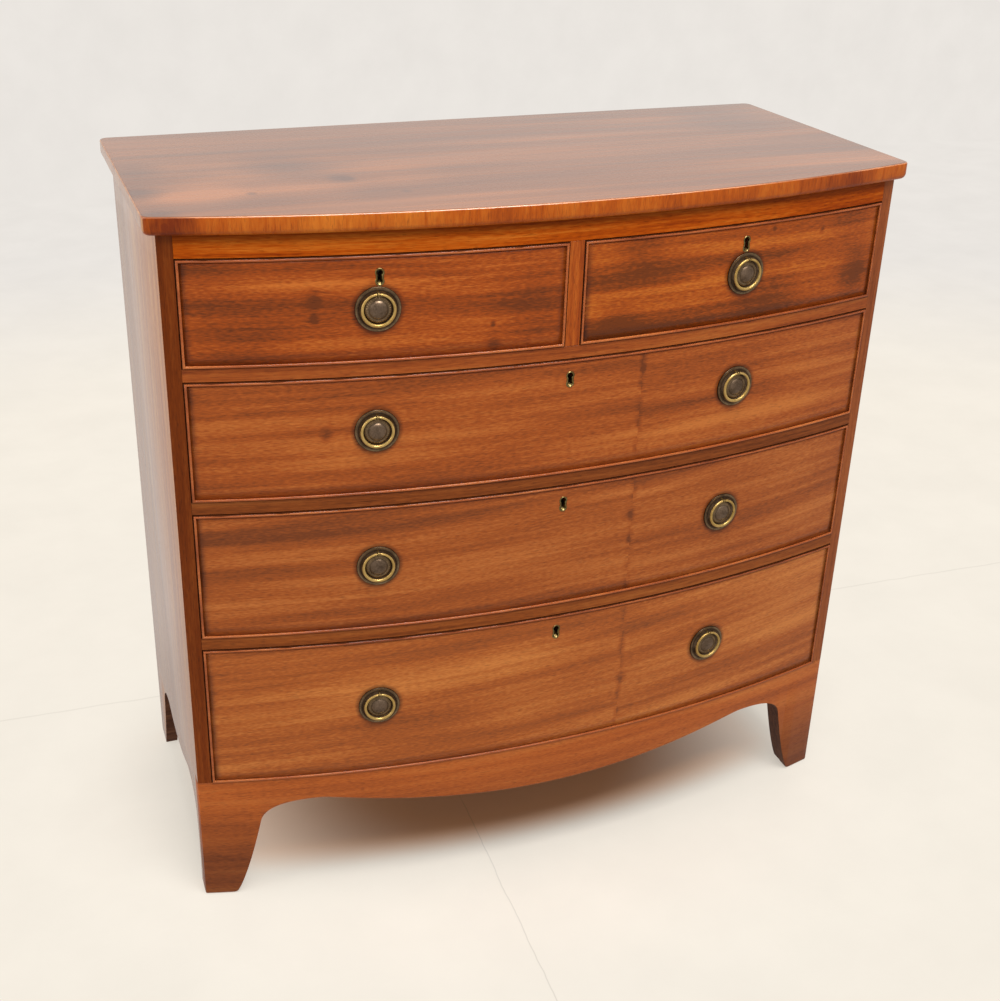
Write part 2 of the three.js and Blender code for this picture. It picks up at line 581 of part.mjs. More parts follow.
// The parts of one drawer, as nodes of a group
function makeDrawer({ name, x0, x1, floor, ceiling, keyholeX, pulls, pullLift }) {
  const group = new THREE.Group();
  const keep = (part, solid, look) => group.add(toMesh(`${name}_${part}`, solid, look));
  const frontZ0 = floor + FRONT_GAP;
  const frontZ1 = ceiling - FRONT_GAP;
  const sideZ0 = floor + RUNNING_GAP;
  const sideZ1 = ceiling - DRAWER_SIDE_HEADROOM;
  const bottomZ0 = sideZ0 + DRAWER_BOTTOM_RISE;
  const bottomZ1 = bottomZ0 + DRAWER_BOTTOM_THICKNESS;
  const backZ0 = bottomZ1 + JOINT_GAP;
  const backZ1 = sideZ1 - DRAWER_BACK_DROP;
  const rear = innerBack - DRAWER_REAR_SPACE;
  const backFront = rear - DRAWER_BACK_THICKNESS;
  const tailZ0 = frontZ0 + BEAD_WIDTH;

  // Front and side boards, with the tails and their sockets
  let front = makeBeadedFront(x0, x1, frontZ0, frontZ1);
  let back = block(x0, x1, backFront, rear, backZ0, backZ1);
  const sideEnds = [[x0, x0 + DRAWER_SIDE_THICKNESS], [x1 - DRAWER_SIDE_THICKNESS, x1]];
  const sides = sideEnds.map(([a, b], end) => {
    const farX = Math.max(Math.abs(a), Math.abs(b));
    const frontTails = (low, high, gap) =>
      tails(low, high, bowY(farX, FRONT_THICKNESS), bowY(farX, FRONT_LAP), tailZ0, sideZ1, gap);
    const backTails = (low, high, gap) =>
      tails(low, high, backFront - JOINT_GAP, rear, backZ0, backZ1, gap);
    const board = block(a, b, foremost, backFront - JOINT_GAP, sideZ0, sideZ1);
    const heel = block(a, b, backFront - OVERRUN, rear, sideZ0, bottomZ1);
    let side = trimToBow(board, FRONT_THICKNESS + JOINT_GAP, sideZ0 - OVERRUN, sideZ1 + OVERRUN).add(heel);
    for (const tail of [...frontTails(a, b, 0), ...backTails(a, b, 0)]) side = side.add(tail);
    const low = end === 0 ? a - OVERRUN : a - JOINT_GAP;
    const high = end === 0 ? b + JOINT_GAP : b + OVERRUN;
    for (const socket of frontTails(low, high, JOINT_GAP)) front = front.subtract(socket);
    for (const socket of backTails(low, high, JOINT_GAP)) back = back.subtract(socket);
    return side;
  });

  // Bottom board, and the groove for it in the front and both sides
  const grooved = (gap) => {
    const reach = GROOVE_DEPTH - DRAWER_SIDE_THICKNESS - JOINT_GAP + gap;
    const rearmost = gap > 0 ? rear + OVERRUN : rear;
    const board = block(
      x0 - reach, x1 + reach, foremost, rearmost, bottomZ0 - gap, bottomZ1 + gap,
    );
    const inset = FRONT_THICKNESS - GROOVE_DEPTH + JOINT_GAP - gap;
    return trimToBow(board, inset, bottomZ0 - OVERRUN, bottomZ1 + OVERRUN);
  };
  const groove = grooved(JOINT_GAP);
  front = front.subtract(groove);

  // Keyhole, mortise for the lock, and bores for the bolts of the pulls
  const keyholeZ = frontZ1 - KEYHOLE_DROP;
  const keyFrame = bowFrame(keyholeX, keyholeZ);
  front = front
    .subtract(frontPrism(keyholeShape(0), -OVERRUN, ESCUTCHEON_DEPTH, keyFrame))
    .subtract(frontPrism(keyholeShape(ESCUTCHEON_WALL), -OVERRUN, FRONT_THICKNESS, keyFrame))
    .subtract(lockBlocks(KEYHOLE_DROP, JOINT_GAP, keyFrame));
  const pullZ = (floor + ceiling) / 2 + pullLift;
  for (const pull of pulls) {
    const bore = PULL_BOLT_RADIUS + 2 * JOINT_GAP;
    const frame = bowFrame(pull.x, pullZ);
    front = front.subtract(
      rod("y", bore, -OVERRUN, FRONT_THICKNESS + OVERRUN, 0, 0, SMALL_ROUND_SEGMENTS, frame),
    );
  }

  keep("front", front, MAHOGANY);
  keep("side_left", sides[0].subtract(groove), OAK);
  keep("side_right", sides[1].subtract(groove), OAK);
  keep("back", back, OAK);
  keep("bottom", grooved(0), PINE);
  const lock = toMesh(`${name}_lock`, makeLock(KEYHOLE_DROP), LOCK_STEEL);
  lock.applyMatrix4(keyFrame);
  group.add(lock);
  for (const pull of pulls) {
    const handle = makePull(`${name}_pull${pull.suffix}`);
    handle.applyMatrix4(bowFrame(pull.x, pullZ));
    group.add(handle);
  }
  return group;
}

// A ring pull in a frame on the drawer's face: plate, boss, post and bolt in one, and the ring
const ringRadius = (RING_DIAMETER - RING_BAR) / 2;
const ringStandoff = PLATE_FLOOR + RING_CLEARANCE + RING_BAR / 2;
const bossRadius = RING_DIAMETER / 2 - RING_BAR - BOSS_CLEARANCE;
const channelRadius = RING_DIAMETER / 2 + PLATE_CHANNEL;
const plateRadius = channelRadius + RIM_WIDTH;

function makePlate() {
  // Radius and height over the drawer's face
  const profile = [
    [0, JOINT_GAP],
    [plateRadius, JOINT_GAP],
    ...RIM_SHARES.map(([out, up]) => [channelRadius + RIM_WIDTH * out, RIM_HEIGHT * up]),
    [channelRadius, PLATE_FLOOR],
    [bossRadius, PLATE_FLOOR],
    ...BOSS_SHARES.map(([out, up]) => [bossRadius * out, BOSS_HEIGHT * up]),
    [0, BOSS_HEIGHT],
  ];
  const points = profile.map(([radius, height]) => new THREE.Vector2(radius, -height)).reverse();
  const geometry = new THREE.LatheGeometry(points, PLATE_SEGMENTS);
  const postEnd = ringStandoff + POST_HEIGHT / 2;
  const post = block(
    -POST_WIDTH / 2, POST_WIDTH / 2, -postEnd, -PLATE_FLOOR / 2,
    ringRadius - POST_HEIGHT / 2, ringRadius + POST_HEIGHT / 2,
  );
  const bore = rod(
    "x", PIVOT_PIN_RADIUS + RUNNING_GAP, -POST_WIDTH, POST_WIDTH, -ringStandoff, ringRadius,
    SMALL_ROUND_SEGMENTS,
  );
  const nutFrom = FRONT_THICKNESS + 2 * JOINT_GAP;
  const shank = rod(
    "y", PULL_BOLT_RADIUS, -PLATE_FLOOR, nutFrom + NUT_THICKNESS, 0, 0, SMALL_ROUND_SEGMENTS,
  );
  const nut = rod("y", NUT_RADIUS, nutFrom, nutFrom + NUT_THICKNESS, 0, 0, NUT_SIDES);
  return toSolid(geometry).add(post).subtract(bore).add(shank).add(nut);
}

function makeRing() {
  const openAngle = Math.asin((POST_WIDTH / 2 + RUNNING_GAP) / (ringRadius - RING_BAR / 2));
  class RingArc extends THREE.Curve {
    getPoint(share, target = new THREE.Vector3()) {
      const angle = openAngle + share * 2 * (Math.PI - openAngle);
      return target.set(ringRadius * Math.sin(angle), -ringStandoff, ringRadius * Math.cos(angle));
    }
  }
  const section = new THREE.Shape();
  section.absarc(0, 0, RING_BAR / 2, 0, 2 * Math.PI, false);
  const bar = new THREE.ExtrudeGeometry(section, {
    steps: RING_SEGMENTS,
    curveSegments: SMALL_ROUND_SEGMENTS / 2,
    extrudePath: new RingArc(),
  });
  let ring = toSolid(bar);
  for (const end of [-1, 1]) {
    const inner = POST_WIDTH / 2 - PIVOT_PIN_BITE;
    const outer = ringRadius * Math.sin(openAngle) + PIVOT_PIN_BITE;
    ring = ring.add(rod(
      "x", PIVOT_PIN_RADIUS, Math.min(end * inner, end * outer), Math.max(end * inner, end * outer),
      -ringStandoff, ringRadius, SMALL_ROUND_SEGMENTS,
    ));
  }
  return ring;
}

function makePull(name) {
  const group = new THREE.Group();
  group.add(toMesh(`${name}_plate`, makePlate(), OLD_BRASS));
  group.add(toMesh(`${name}_ring`, makeRing(), BRASS));
  return group;
}

// The chest, moved along Y so that its origin lies under the middle of its bounds
const chest = new THREE.Group();
const frontEdge = -BOW_RISE - TOP_FRONT_OVERHANG;
const backEdge = CASE_DEPTH + TOP_BACK_OVERHANG;
chest.position.y = -(frontEdge + backEdge) / 2;
const add = (name, solid, look) => chest.add(toMesh(name, solid, look));

const openingMiddle = (PARTITION_THICKNESS / 2 + halfInner) / 2;
const stopX = STOP_PLACE_SHARE * CASE_WIDTH;
const shortStops = [-1, 1].flatMap((side) =>
  [-1, 1].map((end) => side * openingMiddle + (end * openingMiddle) / 2));
const shelfAt = (z1, height, inset, stops) => ({
  z0: z1 - height,
  z1,
  boardZ0: z1 - DUSTBOARD_THICKNESS,
  boardZ1: z1,
  inset,
  stops,
});
const shelves = {
  divider_upper: shelfAt(shortFloor, RAIL_HEIGHT, 0, shortStops),
  divider_middle: shelfAt(upperFloor, RAIL_HEIGHT, 0, [-stopX, stopX]),
  divider_lower: shelfAt(middleFloor, RAIL_HEIGHT, 0, [-stopX, stopX]),
  bottom_board: {
    ...shelfAt(BASE_HEIGHT, BOTTOM_BOARD_THICKNESS, APRON_THICKNESS + JOINT_GAP, [-stopX, stopX]),
    boardZ0: BASE_HEIGHT - BOTTOM_BOARD_THICKNESS,
  },
  top_rail: {
    z0: shortTop,
    z1: caseHeight,
    boardZ0: shortTop,
    boardZ1: shortTop + DUSTBOARD_THICKNESS,
    inset: 0,
    stops: [],
  },
};

add("top", makeTop(), MAHOGANY);
add("side_left", makeSideBoard(-1, Object.values(shelves)), MAHOGANY_DARK);
add("side_right", makeSideBoard(1, Object.values(shelves)), MAHOGANY_DARK);
add("back_panel", makeBackPanel(), PINE);
for (const [name, shelf] of Object.entries(shelves)) add(name, makeShelf(shelf), MAHOGANY_RAIL);
add("apron", makeApron(), MAHOGANY);
add("foot_block_left", makeFootBlock(-1), PINE);
add("foot_block_right", makeFootBlock(1), PINE);
add("partition", makePartition(), MAHOGANY_RAIL);

const longPulls = [-1, 1].map((side) => ({
  suffix: side < 0 ? "_left" : "_right",
  x: (side * LONG_PULL_SPREAD) / 2,
}));
for (const [name, floor, ceiling, pullLift] of [
  ["lower_drawer", BASE_HEIGHT, lowerTop, LOWER_PULL_LIFT],
  ["middle_drawer", middleFloor, middleTop, MIDDLE_PULL_LIFT],
  ["upper_drawer", upperFloor, upperTop, UPPER_PULL_LIFT],
]) {
  const reach = halfInner - FRONT_GAP;
  const drawer = { name, x0: -reach, x1: reach, floor, ceiling, keyholeX: 0, pulls: longPulls, pullLift };
  chest.add(makeDrawer(drawer));
}
for (const side of [-1, 1]) {
  const near = side * (PARTITION_THICKNESS / 2 + FRONT_GAP);
  const far = side * (halfInner - FRONT_GAP);
  chest.add(makeDrawer({
    name: side < 0 ? "short_drawer_left" : "short_drawer_right",
    x0: Math.min(near, far),
    x1: Math.max(near, far),
    floor: shortFloor,
    ceiling: shortTop,
    keyholeX: side * (openingMiddle + SHORT_KEYHOLE_OUTWARD),
    pulls: [{ suffix: "", x: side * (openingMiddle + SHORT_PULL_OUTWARD) }],
    pullLift: 0,
  }));
}

const part = new THREE.Group();
part.add(chest);
export default part;
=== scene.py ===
"""Bow front chest of drawers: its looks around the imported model.

Lengths are in millimetres here and are turned to metres as a mesh is made. X runs to the right,
Y to the back and Z up, and the bowed front faces -Y.
"""

import math
from functools import partial

import bmesh
import bpy
import numpy as np
from mathutils import Matrix, Vector


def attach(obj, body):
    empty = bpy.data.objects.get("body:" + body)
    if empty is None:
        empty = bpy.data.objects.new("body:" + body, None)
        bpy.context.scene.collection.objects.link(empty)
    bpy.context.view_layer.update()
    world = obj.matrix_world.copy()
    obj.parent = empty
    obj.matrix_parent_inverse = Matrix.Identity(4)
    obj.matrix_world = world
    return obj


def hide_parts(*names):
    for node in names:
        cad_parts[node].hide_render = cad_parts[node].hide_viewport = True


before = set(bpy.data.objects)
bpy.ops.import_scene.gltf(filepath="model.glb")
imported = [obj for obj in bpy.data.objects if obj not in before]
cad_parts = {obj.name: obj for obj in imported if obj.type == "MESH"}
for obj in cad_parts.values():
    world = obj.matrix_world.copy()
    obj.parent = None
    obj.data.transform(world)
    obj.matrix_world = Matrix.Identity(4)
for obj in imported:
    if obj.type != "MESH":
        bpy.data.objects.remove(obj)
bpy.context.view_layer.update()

# ---------------------------------------------------------------- sizes of the chest
MM = 0.001
HALF_WIDTH = 515.0
HALF_INNER = 496.0
BOW_RISE = 68.0
FRONT_CORNER_Y = -176.5
BACK_Y = 254.5
BOW_RADIUS = (HALF_WIDTH**2 + BOW_RISE**2) / (2 * BOW_RISE)
BOW_CENTRE_Y = FRONT_CORNER_Y + BOW_RADIUS - BOW_RISE
BASE_HEIGHT = 204.6
CASE_HEIGHT = 1006.9
TOP_THICKNESS = 24.0
APRON_THICKNESS = 20.0
PARTITION_HALF = 10.0
JOINT_GAP = 0.3
# The rebate for the back in a side's inner part: how far out, forward and down it reaches
REBATE_X, REBATE_Y, REBATE_Z = 505.1, 246.2, 188.0
# Floor and ceiling of each row of openings
LOWER_ROW, MIDDLE_ROW, UPPER_ROW, SHORT_ROW = (204.6, 428.6), (446.2, 634.7), (652.3, 818.9), (836.5, 977.1)
DRAWERS = {
    "lower_drawer": dict(x=(-495, 495), z=LOWER_ROW, keyhole=0, pulls=(-260, 260), lift=2),
    "middle_drawer": dict(x=(-495, 495), z=MIDDLE_ROW, keyhole=0, pulls=(-260, 260), lift=4),
    "upper_drawer": dict(x=(-495, 495), z=UPPER_ROW, keyhole=0, pulls=(-260, 260), lift=7.5),
    "short_drawer_left": dict(x=(-495, -11), z=SHORT_ROW, keyhole=-255, pulls=(-257.5,), lift=0),
    "short_drawer_right": dict(x=(11, 495), z=SHORT_ROW, keyhole=255, pulls=(257.5,), lift=0),
}
FRONT_GAP = 1.0
BEAD_WIDTH = 3.0
KEYHOLE_DROP = 28.5
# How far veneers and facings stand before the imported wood, so that they hide it
SKIN = 0.15


# ---------------------------------------------------------------- surfaces
def bow_y(x, inset=0.0):
    """Y of the bow's circle at X, with the circle's radius less the inset."""
    return BOW_CENTRE_Y - np.sqrt((BOW_RADIUS - inset) ** 2 - np.square(x))


def whole_turn(steps):
    """Angles round a full turn."""
    return np.linspace(0, 2 * math.pi, steps, endpoint=False)


def bent(x, inset, z):
    """Points at X and Z on the bow's circle moved in by the inset."""
    x, inset, z = np.broadcast_arrays(*(np.asarray(a, float) for a in (x, inset, z)))
    return np.stack([x, bow_y(x, inset), z], -1)


def surface(points, close_u=False, close_v=True, caps=True):
    """A grid of points u by v as quads. It may close round u or v, and an end at an open u has a cap."""
    nu, nv = points.shape[:2]
    u = np.arange(nu if close_u else nu - 1)[:, None]
    v = np.arange(nv if close_v else nv - 1)[None, :]
    u1, v1 = (u + 1) % nu, (v + 1) % nv
    quads = np.stack([u * nv + v, u1 * nv + v, u1 * nv + v1, u * nv + v1], -1).reshape(-1, 4).tolist()
    if caps and not close_u:
        quads += [list(range(nv)), list(range(nu * nv - 1, (nu - 1) * nv - 1, -1))]
    return points.reshape(-1, 3), quads


def new_object(name, data):
    """An object of the scene."""
    made = bpy.data.objects.new(name, data)
    bpy.context.scene.collection.objects.link(made)
    return made


def piece(name, parts, body, looks, sharp=40.0, outward=True):
    """One mesh from several surfaces, riding on a body. Its faces are turned outwards."""
    vertices, faces, start = [], [], 0
    for points, quads in parts:
        vertices.append(points)
        faces += [[index + start for index in quad] for quad in quads]
        start += len(points)
    mesh = bpy.data.meshes.new(name)
    mesh.from_pydata((np.concatenate(vertices) * MM).tolist(), [], faces)
    mesh.validate()
    if outward:
        shell = bmesh.new()
        shell.from_mesh(mesh)
        bmesh.ops.recalc_face_normals(shell, faces=shell.faces)
        shell.to_mesh(mesh)
        shell.free()
    mesh.polygons.foreach_set("use_smooth", np.ones(len(mesh.polygons), bool))
    mesh.set_sharp_from_angle(angle=math.radians(sharp))
    for look in looks if isinstance(looks, list) else [looks]:
        mesh.materials.append(look)
    made = new_object(name, mesh)
    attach(made, body)
    return made


def mark_faces(made, axis, low, high, index, beyond=(0, -1000)):
    """Gives a material's number to the faces whose normal's part along an axis lies between two values, and
    whose centre lies beyond a place on an axis."""
    faces = made.data.polygons
    centres, normals, old = np.empty(3 * len(faces)), np.empty(3 * len(faces)), np.empty(len(faces), np.int32)
    for key, values in (("center", centres), ("normal", normals), ("material_index", old)):
        faces.foreach_get(key, values)
    part = normals[axis::3]
    marked = (part > low) & (part < high) & (centres[beyond[0] :: 3] > beyond[1] * MM)
    faces.foreach_set("material_index", np.where(marked, index, old).astype(np.int32))


# ---------------------------------------------------------------- materials
def linear(code):
    """A hex colour, as sRGB, turned to the linear colour that a socket takes."""
    values = [int(code[i : i + 2], 16) / 255 for i in (1, 3, 5)]
    return tuple(v / 12.92 if v <= 0.04045 else ((v + 0.055) / 1.055) ** 2.4 for v in values) + (1.0,)


def feed(node, sockets):
    """Gives a node's sockets a value, an output, or a node, whose first open output they take."""
    for key, value in sockets.items():
        if isinstance(value, bpy.types.Node):
            value = next(output for output in value.outputs if output.enabled)
        if isinstance(value, bpy.types.NodeSocket):
            node.id_data.links.new(value, node.inputs[key])
        else:
            node.inputs[key].default_value = value


def add_node(tree, kind, sockets=None, operation=None, stops=(), **settings):
    """Adds a shader node, named without its prefix, with its settings, links and the stops of its ramp."""
    made = tree.nodes.new("ShaderNode" + kind)
    if operation:
        made.operation = operation
    for key, value in settings.items():
        setattr(made, key, value)
    feed(made, sockets or {})
    for _ in stops[2:]:
        made.color_ramp.elements.new(0.5)
    for element, (place, code) in zip(made.color_ramp.elements if stops else (), stops):
        element.position = place
        element.color = linear(code)
    return made


def new_material(name, **values):
    """A material with only its Principled shader, whose plain values are set on its own sockets, the function
    that adds nodes to it, and its tree's nodes."""
    made = bpy.data.materials.new(name)
    made.use_nodes = True
    nodes = made.node_tree.nodes
    feed(nodes["Principled BSDF"], {key.replace("_", " "): value for key, value in values.items()})
    return made, partial(add_node, made.node_tree), nodes


# The setting of a range that eases in and out
SMOOTH = dict(interpolation_type="SMOOTHSTEP")
# Marks in a wood's grain, in this order. Each has its length and width in millimetres, how much finer detail
# it holds, and its share of the tone. Real flecks and pores are about 0.2 mm wide. They are drawn wider here,
# so that they show.
MARKS = ("bands", "ribbons", "streaks", "lines", "flecks", "pores")
BOARD_GRAIN = [(900, 62, 1, 0.9), (420, 24, 1, 1.15), (320, 8.5, 1, 0.55), (240, 3.2, 1, 0.35), (7, 1.3, 0, 0.6)]
SIDE_GRAIN = [(900, 62, 1, 0.4), (500, 20, 1, 0.8), (320, 8, 1, 1), (200, 3.2, 1, 0.7), (15, 1.6, 0, 0.4)]
TOP_GRAIN = [(900, 80, 1, 1.1), (420, 30, 1, 0.8), (300, 11, 1, 0.26), (200, 3.6, 1, 0.14), (15, 1.6, 0, 0.04)]
RAIL_GRAIN = [(700, 40, 1, 0.6), (300, 9, 1, 0.9), (200, 4.5, 1, 0.8), (90, 2.4, 1, 0.6), (15, 1.4, 0, 0.6)]
CROSSBAND_GRAIN = [(120, 75, 1, 1.05), (60, 24, 1, 0.75), (45, 6.5, 1, 0.6), (30, 2.6, 1, 0.45), (9, 1.5, 0, 0.3)]
BEAD_GRAIN = [(260, 60, 0, 0.8), (90, 24, 1, 0.8), (40, 12, 1, 0.4), (60, 2.4, 0, 0.2), (14, 1.5, 0, 0.2)]
PLANED_GRAIN = [(900, 50, 1, 0.6), (420, 14, 1, 0.8), (300, 5, 1, 0.8), (180, 2.2, 1, 0.5), (12, 1.3, 0, 0.5)]
PORES = (10, 0.75, 0, 0)
# The dark that a field's edges take: grime, and painted shade beside and under the beads
GRIME_AND_SHADE = "#34180f"
# The dark of the pine next to the bow's face: a stain, and painted shade where it shows as the gap round a drawer
STAIN_AND_GAP_SHADE = "#45200e"


def wood(
    name, dark, mid, light, grain=BOARD_GRAIN, along="X", seed=0.0, tilt=0.0, sway=0.016, roughness=0.3, gloss=0.35,
    film=0.0, contrast=1.0, pores=0.3, relief=0.1, bowed=False, flat=False, seam=None, knots=(), clouds=(),
    polish_and_shadow_rings=(), field=None, fade=None, stain_and_gap_shade=False,
):
    """Wood whose grain is noise drawn out along the board, in marks of the sizes that the table gives, over
    a slow sway. On a bowed board it takes the distance from the bow's centre for Y, so that it follows the
    face. A knot bends the grain round it and darkens it by a depth. A cloud only changes the tone, and is
    lighter where its depth is negative. A seam shifts the grain by a few millimetres and leaves a row of
    dark smudges. Halos are the dark rings round the pulls: polish left there, and a painted shadow of each
    plate. A field's edges darken with grime and with painted shade beside and under the beads, a fade runs
    up the board, and a stain darkens what lies within 8 mm of the bow's face, where a strip of it also
    stands as painted shade for the gap round a drawer."""
    def drawn_out(lengthwise, across):
        """A vector that has one value along the grain and another across it."""
        return tuple(lengthwise if axis == along else across for axis in "XYZ")

    def round_about(middle, size):
        """The place seen from a middle, in parts of a size, and how near it is: 1 there and 0 at that size."""
        seen = add("Mapping", {"Vector": place, "Location": middle, "Scale": size}, vector_type="TEXTURE")
        return seen, add("TexGradient", {0: seen}, gradient_type="SPHERICAL").outputs["Fac"]

    made, add, nodes = new_material(name, Coat_Weight=film, Coat_Roughness=0.08, Specular_IOR_Level=gloss)
    place = add("TexCoord").outputs["Object"]
    axes = add("SeparateXYZ", {0: place}).outputs
    shift = {"Location": (seed, 0.31 * seed, 0.17 * seed), "Rotation": (0, math.radians(tilt), 0)}
    centre = add("VectorMath", {0: place, 1: (0, BOW_CENTRE_Y * MM, 0)}, "SUBTRACT")
    centre = add("VectorMath", {0: centre, 1: (1, 1, 0)}, "MULTIPLY")
    away = add("VectorMath", {0: centre}, "LENGTH").outputs["Value"]
    board = add("CombineXYZ", {"X": axes["X"], "Y": away if bowed else axes["Y"], "Z": axes["Z"]})
    drawn = add("Mapping", {"Vector": board, **shift})
    across = (0, 1, 0) if flat else (0, 0, 1)
    spots = []
    if seam is not None:
        right = add("Math", {0: axes["X"], 1: seam * MM}, "GREATER_THAN")
        drawn = add("VectorMath", {0: right, 1: (0, 0.003, 0.009), 2: drawn}, "MULTIPLY_ADD")
        _, line = round_about((seam * MM, 0, 0), (7 * MM, 1000, 1000))
        patches = add("TexNoise", {"Vector": place, "Scale": 38.0, "Detail": 3.0})
        patches = add("MapRange", {0: patches, 1: 0.4, 2: 0.62})
        spots.append((add("Math", {0: line, 1: patches}, "MULTIPLY"), 0.45))
    for x, second, radius, depth in (*knots, *clouds):
        middle = (x * MM, second * MM, 0) if flat else (x * MM, 0, second * MM)
        reach = 2.6 * radius * MM
        size = (reach, 1.2 * reach, 1000) if flat else (reach, 1000, 1.2 * reach)
        around, core = round_about(middle, size)
        if (x, second, radius, depth) in knots:
            hump = add("MapRange", {0: core}, **SMOOTH)
            push = add("VectorMath", {0: around, 1: tuple(-0.5 * reach * part for part in across)}, "MULTIPLY")
            drawn = add("VectorMath", {0: push, 1: hump, 2: drawn}, "MULTIPLY_ADD")
        core = add("MapRange", {0: core, 1: 0.35, 2: 0.95}, **SMOOTH)
        spots.append((core, depth))

    slow = add("Mapping", {"Vector": drawn, "Scale": drawn_out(2.4, 7.0)})
    slow = add("TexNoise", {"Vector": slow, "Scale": 1.0, "Detail": 1.0}).outputs["Color"]
    drawn = add("VectorMath", {0: slow, 1: drawn_out(0.0, sway), 2: drawn}, "MULTIPLY_ADD")
    layers = {}
    tone = 0.5 - contrast * sum(mark[3] for mark in grain) / 2
    for mark, (length, width, detail, share) in zip(MARKS, (*grain, PORES)):
        turns = drawn_out(1 / (length * MM), 1 / (width * MM))
        scaled = add("Mapping", {"Vector": drawn, "Scale": turns})
        layers[mark] = add("TexNoise", {"Vector": scaled, "Scale": 1.0, "Detail": detail, "Roughness": 0.45})
        if share:
            tone = add("Math", {0: layers[mark], 1: share * contrast, 2: tone}, "MULTIPLY_ADD")
    for spot, depth in spots:
        tone = add("Math", {0: spot, 1: -depth, 2: tone}, "MULTIPLY_ADD")
    colour = add("ValToRGB", {0: tone}, stops=[(0.0, dark), (0.5, mid), (1.0, light)])
    pore = add("MapRange", {0: layers["pores"], 1: 0.62, 2: 0.74})
    shades = [add("MapRange", {0: pore, 3: 1.0, 4: 1 - pores})]
    # Each pull's dark ring: polish left round it, and a painted shadow of its plate
    for x, z, radius in polish_and_shadow_rings:
        _, ring = round_about((x * MM, 0, z * MM), (radius * MM, 1000, radius * MM))
        shades.append(add("MapRange", {0: ring, 2: 0.16, 3: 1.0, 4: 0.55}, **SMOOTH))
    if fade:
        shades.append(add("MapRange", {0: axes["Z"], 1: fade[0] * MM, 2: fade[1] * MM, 3: fade[2]}, **SMOOTH))
    for shade in shades:
        colour = add("VectorMath", {0: colour, "Scale": shade}, "SCALE")
    # Grime and painted shade: the field's edges darken beside and under the beads
    if field:
        grime_and_shade = 0.0
        reaches, shares = (15, -15, 8, -6, 2.5, -2.5, 2.5), (0.9, 0.9, 0.4, 0.6, 1.0, 1.0, 1.0)
        for axis, edge, reach, share in zip("XXZZXXZ", (*field, *field[:3]), reaches, shares):
            near = {0: axes[axis], 1: edge * MM, 2: (edge + reach) * MM, 3: share, 4: 0.0}
            near = add("MapRange", near, interpolation_type="SMOOTHERSTEP")
            near = add("Math", {0: near, 1: 1.6}, "POWER")
            grime_and_shade = add("Math", {0: near, 1: grime_and_shade}, "MAXIMUM")
        patches = add("TexNoise", {"Vector": place, "Scale": 26.0, "Detail": 2.0})
        patches = add("MapRange", {0: patches, 1: 0.3, 2: 0.7, 3: 0.3, 4: 0.85})
        grime_and_shade = add("Math", {0: grime_and_shade, 1: patches}, "MULTIPLY")
        colour = add("Mix", {0: grime_and_shade, 6: colour, 7: linear(GRIME_AND_SHADE)}, data_type="RGBA").outputs[2]
    # Stain, and painted shade where a strip of it shows as the gap round a drawer
    if stain_and_gap_shade:
        near = add("MapRange", {0: away, 1: (BOW_RADIUS - 8.5) * MM, 2: (BOW_RADIUS - 7.5) * MM})
        colour = add("Mix", {0: near, 6: colour, 7: linear(STAIN_AND_GAP_SHADE)}, data_type="RGBA").outputs[2]
    rough = add("MapRange", {0: layers["streaks"], 1: 0.3, 2: 0.7, 3: roughness - 0.03, 4: roughness + 0.04})
    rough = add("Math", {0: pore, 1: 0.4 * pores, 2: rough}, "MULTIPLY_ADD")
    height = add("Math", {0: layers["flecks"], 1: 0.6}, "MULTIPLY")
    height = add("Math", {0: pore, 1: -0.8, 2: height}, "MULTIPLY_ADD")
    bump = add("Bump", {"Strength": relief, "Distance": 0.0003, "Height": height})
    feed(nodes["Principled BSDF"], {"Base Color": colour, "Roughness": rough, "Normal": bump})
    return made


def metal(name, dark, light, roughness, patch=1.1, metallic=1.0, relief=0.2, radial=()):
    """Cast and handled metal, whose film of age varies over patches of a size in millimetres. Where it has
    radial colours, the mesh's attribute reach says how far out a point lies, from 0 to 1."""
    made, add, nodes = new_material(name, Metallic=metallic)
    place = add("TexCoord").outputs["Object"]
    fine = add("TexNoise", {"Vector": place, "Scale": 1 / (patch * MM), "Detail": 2.0})
    broad = add("TexNoise", {"Vector": place, "Scale": 1 / (6 * patch * MM), "Detail": 1.0})
    both = add("Math", {0: fine, 1: broad}, "ADD")
    film = add("MapRange", {0: both, 1: 0.7, 2: 1.3})
    colour = add("ValToRGB", {0: film}, stops=[(0.0, dark), (1.0, light)])
    if radial:
        reach = add("Attribute", attribute_name="reach").outputs["Fac"]
        rings = add("ValToRGB", {0: reach}, stops=radial)
        colour = add("VectorMath", {0: rings, 1: colour}, "MULTIPLY")
    rough = add("MapRange", {0: film, 3: roughness + 0.05, 4: roughness - 0.05})
    bump = add("Bump", {"Strength": relief, "Distance": 0.0002, "Height": both})
    feed(nodes["Principled BSDF"], {"Base Color": colour, "Roughness": rough, "Normal": bump})
    return made


# X, Y, radius and depth of the top's warm and dark clouds and of its knots
TOP_CLOUDS = [
    (-455, -95, 50, -0.5), (-385, -60, 60, -0.35), (-300, -110, 50, -0.28), (-190, -60, 60, -0.2),
    (-319, 30, 50, 0.3), (-512, 40, 34, 0.4), (-520, -80, 26, 0.4), (-510, -190, 22, 0.4), (421, 150, 70, 0.3),
    (-260, -66, 16, 0.4),
]
TOP_KNOTS = [(-385, -112, 6, 0.5), (-250, -70, 9, 0.35), (-196, -150, 6, 0.3)]
